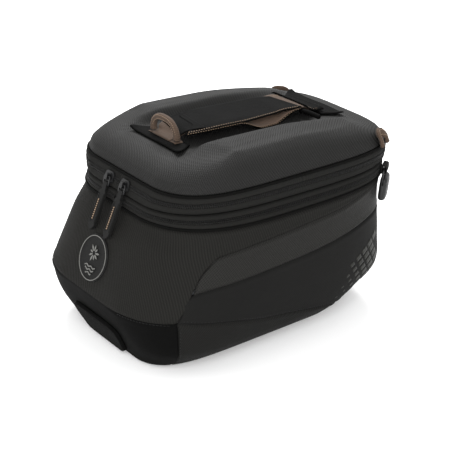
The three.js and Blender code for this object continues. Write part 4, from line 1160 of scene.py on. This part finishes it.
def tongue():
    """Pull tongue of the lock: a soft flap with rounded corners and a pressed border."""
    u, v = np.linspace(-1, 1, 45), np.linspace(-1, 1, 33)
    u, v = np.sign(u) * np.abs(u) ** 0.8, np.sign(v) * np.abs(v) ** 0.8
    gu, gv = np.meshgrid(u, v, indexing="ij")
    across = gu * (1 - 0.05 * smooth(np.abs(gv), 0.7, 1) ** 2 * 1.6)
    upward = gv * (1 - 0.06 * smooth(np.abs(gu), 0.75, 1) ** 2 * 1.6)
    half = body(REAR + 5.2, TONGUE_LEVEL)[0]
    x, level = across * half, TONGUE_LEVEL + upward * TONGUE_HALF
    degrees_table = np.linspace(-97, -83, 401)
    degrees = np.interp(x, body(degrees_table, TONGUE_LEVEL)[:, 0], degrees_table)
    edge = np.minimum((1 - np.abs(gu)) * half, (1 - np.abs(gv)) * TONGUE_HALF)
    thick = 0.5 + 3.2 * dome(edge, 1.8) * 0.97 - 0.45 * bell(edge - 3.4, 0.55)
    centre, out = body(degrees, level), body_normal(degrees, level)
    points, faces = shell(centre + out * (0.5 + thick)[..., None], centre + out * 0.5)
    add_mesh("release_tongue_flap", points, faces, "release", sleeve_cloth, ["release_tongue"],
             "black_plastic", weave_grid(x, level))


tongue()


def buckle(place):
    """Hanging buckle: a rounded moulding with pressed ribs, below a slotted frame for the webbing."""
    u, v = np.meshgrid(*(np.sin(np.linspace(-1, 1, count) * math.pi / 2) for count in (49, 57)),
                       indexing="ij")
    reach = np.maximum(np.abs(u), np.abs(v))
    rounding = np.where(reach > 1e-6, reach / np.maximum((np.abs(u) ** 5 + np.abs(v) ** 5) ** 0.2, 1e-6), 1)
    x, up = u * rounding * 12 * (1 - 0.05 * (1 - v) / 2), v * rounding * 12.2 - 12.8
    edge = (1 - reach) * 12
    swell = dome(edge, 4.5)
    ribs = sum(bell(up + 19.5 - 2.6 * n, 0.75) for n in range(4)) * smooth(8.6 - np.abs(x), 0, 1)
    front = 6.3 + 3.9 * swell - 0.5 * bell(edge - 3.0, 0.5) - 0.55 * ribs - 0.5 * bell(up + 6.2, 0.6)
    back = 6.3 - 4.0 * np.sqrt(swell)
    rim = spline([(-10.4, -4, 4.5), (-10.5, 2, 4.5), (-9.9, 4.9, 4.5), (-7.6, 5.8, 4.5), (0, 5.9, 4.5),
                  (7.6, 5.8, 4.5), (9.9, 4.9, 4.5), (10.5, 2, 4.5), (10.4, -4, 4.5)], 60)
    low, high = place(np.zeros(2), np.zeros(2), np.array([0.0, 1]))
    return merge([shell(place(x, up, front), place(x, up, back)),
                  tube(place(*rim.T), ellipse(1.25, 1.0, 16, 3), hint=high - low)])


BUCKLE_ANGLE = 48.0
tab_section, tab_ring = ellipse(7.5, 0.6, 22, 6), ellipse(3.85, 2.55, 40, 3.2)
for side, mirror in (("right", 1), ("left", -1)):
    wall = body(BUCKLE_ANGLE, LOWER_PIPING) * (mirror, 1, 1)
    before, after = (body(BUCKLE_ANGLE + turn, LOWER_PIPING) * (mirror, 1, 0) for turn in (-6, 6))
    along = unit(after - before) * mirror
    out = np.array([along[1], -along[0], 0])
    foot = body(BUCKLE_ANGLE, LOWER_PIPING - 25) * (mirror, 1, 1)
    up_wall = unit((*(-out[:2] * (out[:2] @ (foot - wall)[:2])), 25))
    lift = np.cross(along, up_wall)
    middle_up, middle_out = (1.7 + 10.6) / 2, (1.3 + 7.6) / 2
    origin = wall * (1, 1, 0) + (0, 0, LOWER_PIPING)

    def on_buckle(x, up, depth):
        return origin + along * x[..., None] + up_wall * up[..., None] + lift * depth[..., None]

    add_mesh(f"buckle_{side}_moulding", *buckle(on_buckle), f"buckle_{side}", black_plastic,
             [f"buckle_{side}"], "black_plastic")
    loop = origin + up_wall * (middle_up + tab_ring[:, :1]) + lift * (middle_out + tab_ring[:, 1:])
    points, faces = tube(loop, tab_section, closed=True, hint=np.cross(
        np.roll(loop, -1, 0) - np.roll(loop, 1, 0), along))
    run = lengths(np.vstack([loop, loop[:1]]))[:-1]
    tab = add_mesh(f"buckle_tab_{side}_webbing", points, faces, "case", tape_cloth, [f"buckle_tab_{side}"],
                   "trim_binding", weave_grid(run[:, None], tab_section[None, :, 0]))

# ---------- printed pattern on the side panels ----------


def panel_surface(y, z):
    """Angle and level on the right side where the skin is at y and z."""
    table = np.linspace(-60, 70, 1301)
    level = np.clip((z - ramp(y)) / (1 - ramp(y) / BODY_TOP), 0, BODY_TOP)
    degrees = [np.interp(one_y, body(table, one_level)[:, 1], table) for one_y, one_level in
               zip(np.ravel(y), np.ravel(level))]
    return np.reshape(degrees, np.shape(y)), level


DOT_START, DOT_A, DOT_B = np.array([55, 52.0]), np.array([9.8, 3.7]), np.array([4.1, -6.3])
DOT_SHARE = {-2: 0.22, -1: 0.3, 0: 0.42, 1: 0.58, 2: 0.7, 3: 0.8, 4: 0.85, 5: 0.88}
DOT_ROWS = ((0, 0, 4), (1, -1, 4), (2, -2, 4), (3, -1, 3), (4, 0, 2), (-1, 1, 5))
DOT_A_SHARE, DOT_B_SHARE = np.meshgrid(np.linspace(-0.5, 0.5, 5), np.linspace(-0.5, 0.5, 5), indexing="ij")
dot_parts = []
for j, first, last in DOT_ROWS:
    for i in range(first, last + 1):
        centre = DOT_START + DOT_A * i + DOT_B * j
        spot = centre + (DOT_A * DOT_A_SHARE[..., None] + DOT_B * DOT_B_SHARE[..., None]) * DOT_SHARE[i]
        degrees, level = panel_surface(spot[..., 0], spot[..., 1])
        low, high = level_at(degrees, lower_seam), level_at(degrees, flash_low)
        if (level < low + 2).any() or (level > high - 2).any() or (arc_of(degrees) > arc_of(FRONT) - 4).any():
            continue
        base, out = skin_point(degrees, level), body_normal(degrees, level)
        dot_parts.append(shell(base + out * 0.22, base - out * 0.3))
for side, mirror in (("right", 1), ("left", -1)):
    points, faces = merge(dot_parts)
    if mirror < 0:
        points, faces = points * (-1, 1, 1), [face[::-1] for face in faces]
    add_mesh(f"side_pattern_{side}", points, faces, "case", dot_print, slot="smooth_fabric")

# ---------- inside and underneath ----------

LINING_LEVELS = np.concatenate([np.linspace(134.4, 60, 26), np.linspace(57, 19.6, 14)])
LINING_COLUMNS = all_round(6.0)
LINING_SHARES = np.linspace(0.97, 0.05, 14)


def towards(centre, rim, shares):
    """Points on the way from a rim of [x, y] to a centre: share 1 is on the rim."""
    return centre + (rim[:, None] - centre) * shares[None, :, None]


def with_height(xy, z):
    return np.concatenate([xy, z[..., None]], -1)


def lining_wall(inset, floor_lift):
    wrinkle = 0.5 * np.sin(LINING_COLUMNS[:, None] * 0.21 + LINING_LEVELS[None] * 0.05)
    wrinkle = wrinkle * bell(LINING_LEVELS - 80, 40)
    ease = 2.2 * (1 - smooth(LINING_LEVELS, 52, 62))
    wall = body(LINING_COLUMNS[:, None], LINING_LEVELS[None], inset + ease[None] + wrinkle + 0.4)
    floor_xy = towards((0, -10), wall[:, -1, :2], LINING_SHARES)
    floor_z = wall[:, -1, 2][:, None] * LINING_SHARES[None] + 19.9 * (1 - LINING_SHARES[None]) + floor_lift
    floor_z = np.maximum(floor_z, 19.8 + ramp(floor_xy[..., 1]) * 0.85 + floor_lift)
    return np.concatenate([wall, with_height(floor_xy, floor_z)], 1)


outside, inside = lining_wall(5.6, 0.0), lining_wall(6.4, 0.8)
lining = cup("compartment_lining_cloth", outside, inside, "case", lining_cloth, "compartment_lining",
             "lining_fabric", weave_grid(arc_of(LINING_COLUMNS)[:, None], outside[..., 2]))


def front_fall(y):
    """How far the lining follows the lid down towards its front edge."""
    return 9.0 * smooth(y, 62, 100)


def lid_lining_wall(inset, drop):
    levels = np.array([167.8, 170, 173, 176, 178.5, 180.2])
    wall = lid_point(LINING_COLUMNS[:, None], levels[None], inset + smooth(levels, 172, 181)[None] * 6)
    wall[..., 2] = levels[None] - front_fall(wall[..., 1]) * smooth(levels, 168, 180)[None]
    xy = towards((0, -5), wall[:, -1, :2], LINING_SHARES)
    z = 181.4 - drop + 0.25 * np.sin(xy[..., 0] / 7) * np.cos(xy[..., 1] / 9) - front_fall(xy[..., 1])
    return np.concatenate([wall, with_height(xy, z)], 1)


outside, inside = lid_lining_wall(LID_THICKNESS + 2.4, 0.0), lid_lining_wall(LID_THICKNESS + 3.2, 0.8)
lid_lining = cup("lid_lining_cloth", outside, inside, "lid", lining_cloth, "lid_lining", "lining_fabric",
                 outside[..., :2])

mesh_xy = towards((0, -5), lid_point(LINING_COLUMNS, 168.5, 8.2)[:, :2], np.linspace(1, 0.05, 24))
mesh_z = 169.6 + 0.5 * np.cos(mesh_xy[..., 0] / 22) * np.cos(mesh_xy[..., 1] / 30)
mesh_face = with_height(mesh_xy, mesh_z)
mesh_piece = cup("lid_mesh_panel_cloth", mesh_face, mesh_face - (0, 0, 0.7), "lid", mesh_cloth,
                 "lid_mesh_panel", "mesh", mesh_xy, hollow=False)

zip_x = np.linspace(-58, 58, 60)
tape_y = np.array([-84, -82.6, -80.6, -79.4, -77.4, -76])
tape_z = np.array([168.5, 167.9, 167.8, 167.8, 167.9, 168.5])
low_side = np.stack(np.broadcast_arrays(zip_x[::-1, None], tape_y[None], tape_z[None]), -1)
pocket_parts = [shell(low_side, low_side + (0, 0, 0.7))]
for n in range(57):
    for row in (0, 1):
        x, y = -56.5 + n * 2 + row, -80.6 + row * 1.2
        pocket_parts.append(tube([(x, y - 0.7, 167.6), (x, y + 0.7, 167.6)], ellipse(0.55, 0.45, 6)))
points, faces = merge(pocket_parts)
add_mesh("lid_pocket_zip_tape", points, faces, "lid", tape_cloth, ["lid_pocket_zip"], "zip_tape",
         points[:, :2])


LOCK_RADIUS = 58.4


def base_skin():
    """Bottom skin round the lock's hole, following the rise towards the front."""
    turns = np.radians(np.arange(0, 360, 3.0))
    outline = body(np.linspace(REAR, REAR + 360, 721), 1.0, WALL + 0.5)[:, :2]
    centre = np.array([0.0, -40.0])
    polar = np.arctan2(*(outline - centre).T[::-1])
    order = np.argsort(polar)
    distance = np.linalg.norm(outline - centre, axis=1)
    reach = np.interp(turns, polar[order], distance[order], period=2 * math.pi)
    shares = np.concatenate([[0], np.linspace(0.01, 0.99, 22), [1]])
    radius = LOCK_RADIUS + (reach[:, None] - LOCK_RADIUS) * shares[None]
    x, y = centre[0] + radius * np.cos(turns)[:, None], centre[1] + radius * np.sin(turns)[:, None]
    z = ramp(y) + 0.15 + 0.35 * bell(shares[None], 0.04) + 0.35 * bell(shares[None] - 1, 0.04)
    low = np.stack([x, y, z], -1)[:, ::-1]
    points, faces = shell(low + (0, 0, 2.2), low, closed=True)
    return add_mesh("base_panel_cloth", points, faces, "case", side_cloth, ["base_panel"], "trim_binding",
                    points[:, :2])


base_piece = base_skin()

# ---------- hard pieces ----------


def finish_cad(node_name, material, bevel):
    """Rounds the edges of a moulded or metal piece and gives it its material."""
    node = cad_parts[node_name]
    weld = node.modifiers.new("weld", "WELD")
    weld.merge_threshold = 1e-5
    flat_faces = node.modifiers.new("flat", "DECIMATE")
    flat_faces.decimate_type = "DISSOLVE"
    flat_faces.angle_limit = math.radians(1)
    edge = node.modifiers.new("edges", "BEVEL")
    edge.width, edge.segments, edge.angle_limit = bevel * MM, 3, math.radians(28)
    edge.harden_normals = False
    node.data.materials.clear()
    node.data.materials.append(material)
    node.data.polygons.foreach_set("use_smooth", [True] * len(node.data.polygons))
    node.modifiers.new("normals", "WEIGHTED_NORMAL").keep_sharp = True


for name in ("zip_left", "zip_right", "expansion"):
    finish_cad(f"{name}_slider", black_plastic, 0.45)
    finish_cad(f"{name}_link", black_plastic, 0.4)
    finish_cad(f"{name}_pull", pull_rubber, 0.45)
for name, material, bevel in (("badge", badge_rubber, 0.5), ("lock_housing", black_plastic, 0.6),
                              ("lock_cover", black_plastic, 0.4), ("release_bar", black_plastic, 0.4),
                              ("base_board", board_plastic, 0.3),
                              *((f"lock_screw_{n}", screw_steel, 0.25) for n in range(1, 5))):
    finish_cad(name, material, bevel)

# ---------- stitched lines on the zip pulls ----------


LINK_LEAN, PULL_LEAN = 15, 24      # degrees out of the vertical, as the pulls hang


def leaning(degrees):
    """Direction up along a piece that leans out towards the rider."""
    return np.array([0.0, math.sin(math.radians(degrees)), math.cos(math.radians(degrees))])


wall_up = unit(body(REAR, 161.0) - body(REAR, 155.0))
rise = leaning(PULL_LEAN)
face = np.cross(ACROSS, rise)
for side, x, first, last in (("left", -15, -14, -35), ("right", 11, -13, -35)):
    origin = np.array([x, body(REAR, MAIN_ZIP, -0.6)[1], MAIN_ZIP])
    bore = origin + np.cross(ACROSS, wall_up) * 3.5 - leaning(LINK_LEAN) * 8.0
    line = bore + rise * np.linspace(first, last, 40)[:, None] + face * 1.55 + ACROSS * (-0.6)
    ribs = [tube(bore + rise * np.linspace(-9, -37, 30)[:, None] + face * 1.42 + ACROSS * edge_x,
                 ellipse(0.4, 0.3, 8), hint=face) for edge_x in (-3.4, 3.4)]
    add_mesh(f"zip_{side}_pull_stitches", *stitches(line, face, 2.0, 0.62, 0.5), f"zip_{side}_pull",
             beige_thread, slot="beige_webbing")
    add_mesh(f"zip_{side}_pull_ribs", *merge(ribs), f"zip_{side}_pull", pull_rubber, slot="black_plastic")

# ---------- light and floor ---------------------

MIDDLE = (0, 0, 0.1)


def light(name, place, size, power):
    data = bpy.data.lights.new(name, "AREA")
    data.shape, data.size, data.energy = "DISK", size, power
    lamp = add_object(name, data)
    lamp.location = place
    lamp.rotation_mode = "QUATERNION"
    lamp.rotation_quaternion = (Vector(MIDDLE) - Vector(place)).to_track_quat("-Z", "Y")


light("key", (-0.75, 0.45, 1.4), 1.0, 36)
light("left", (-0.6, -1.5, 0.75), 0.9, 4)
light("front_right", (1.3, -0.9, 1.0), 1.1, 27)
world = bpy.data.worlds.new("studio")
world.use_nodes = True
world.node_tree.nodes["Background"].inputs["Color"].default_value = (1, 1, 1, 1)
world.node_tree.nodes["Background"].inputs["Strength"].default_value = 1.0
SCENE.world = world
SCENE.view_settings.view_transform = "Standard"

FLOOR_REACH = 6
floor_mesh = bpy.data.meshes.new("studio_floor")
corners = [(x * FLOOR_REACH, y * FLOOR_REACH, 0) for x, y in ((-1, -1), (1, -1), (1, 1), (-1, 1))]
floor_mesh.from_pydata(corners, [], [(0, 1, 2, 3)])
floor = add_object("studio_floor", floor_mesh)
floor.location.z = -0.0005
paper = Nodes("studio_paper")
paper.shader.inputs["Emission Color"].default_value = (1, 1, 1, 1)
paper.shader.inputs["Emission Strength"].default_value = 0.2
paper_tone = paper.mix(paper.noise(paper.place(None), 0.002, 2), (0.78, 0.78, 0.78, 1), (0.8, 0.8, 0.8, 1))
floor_mesh.materials.append(paper.finish(paper_tone, 0.9, specular=0.1))
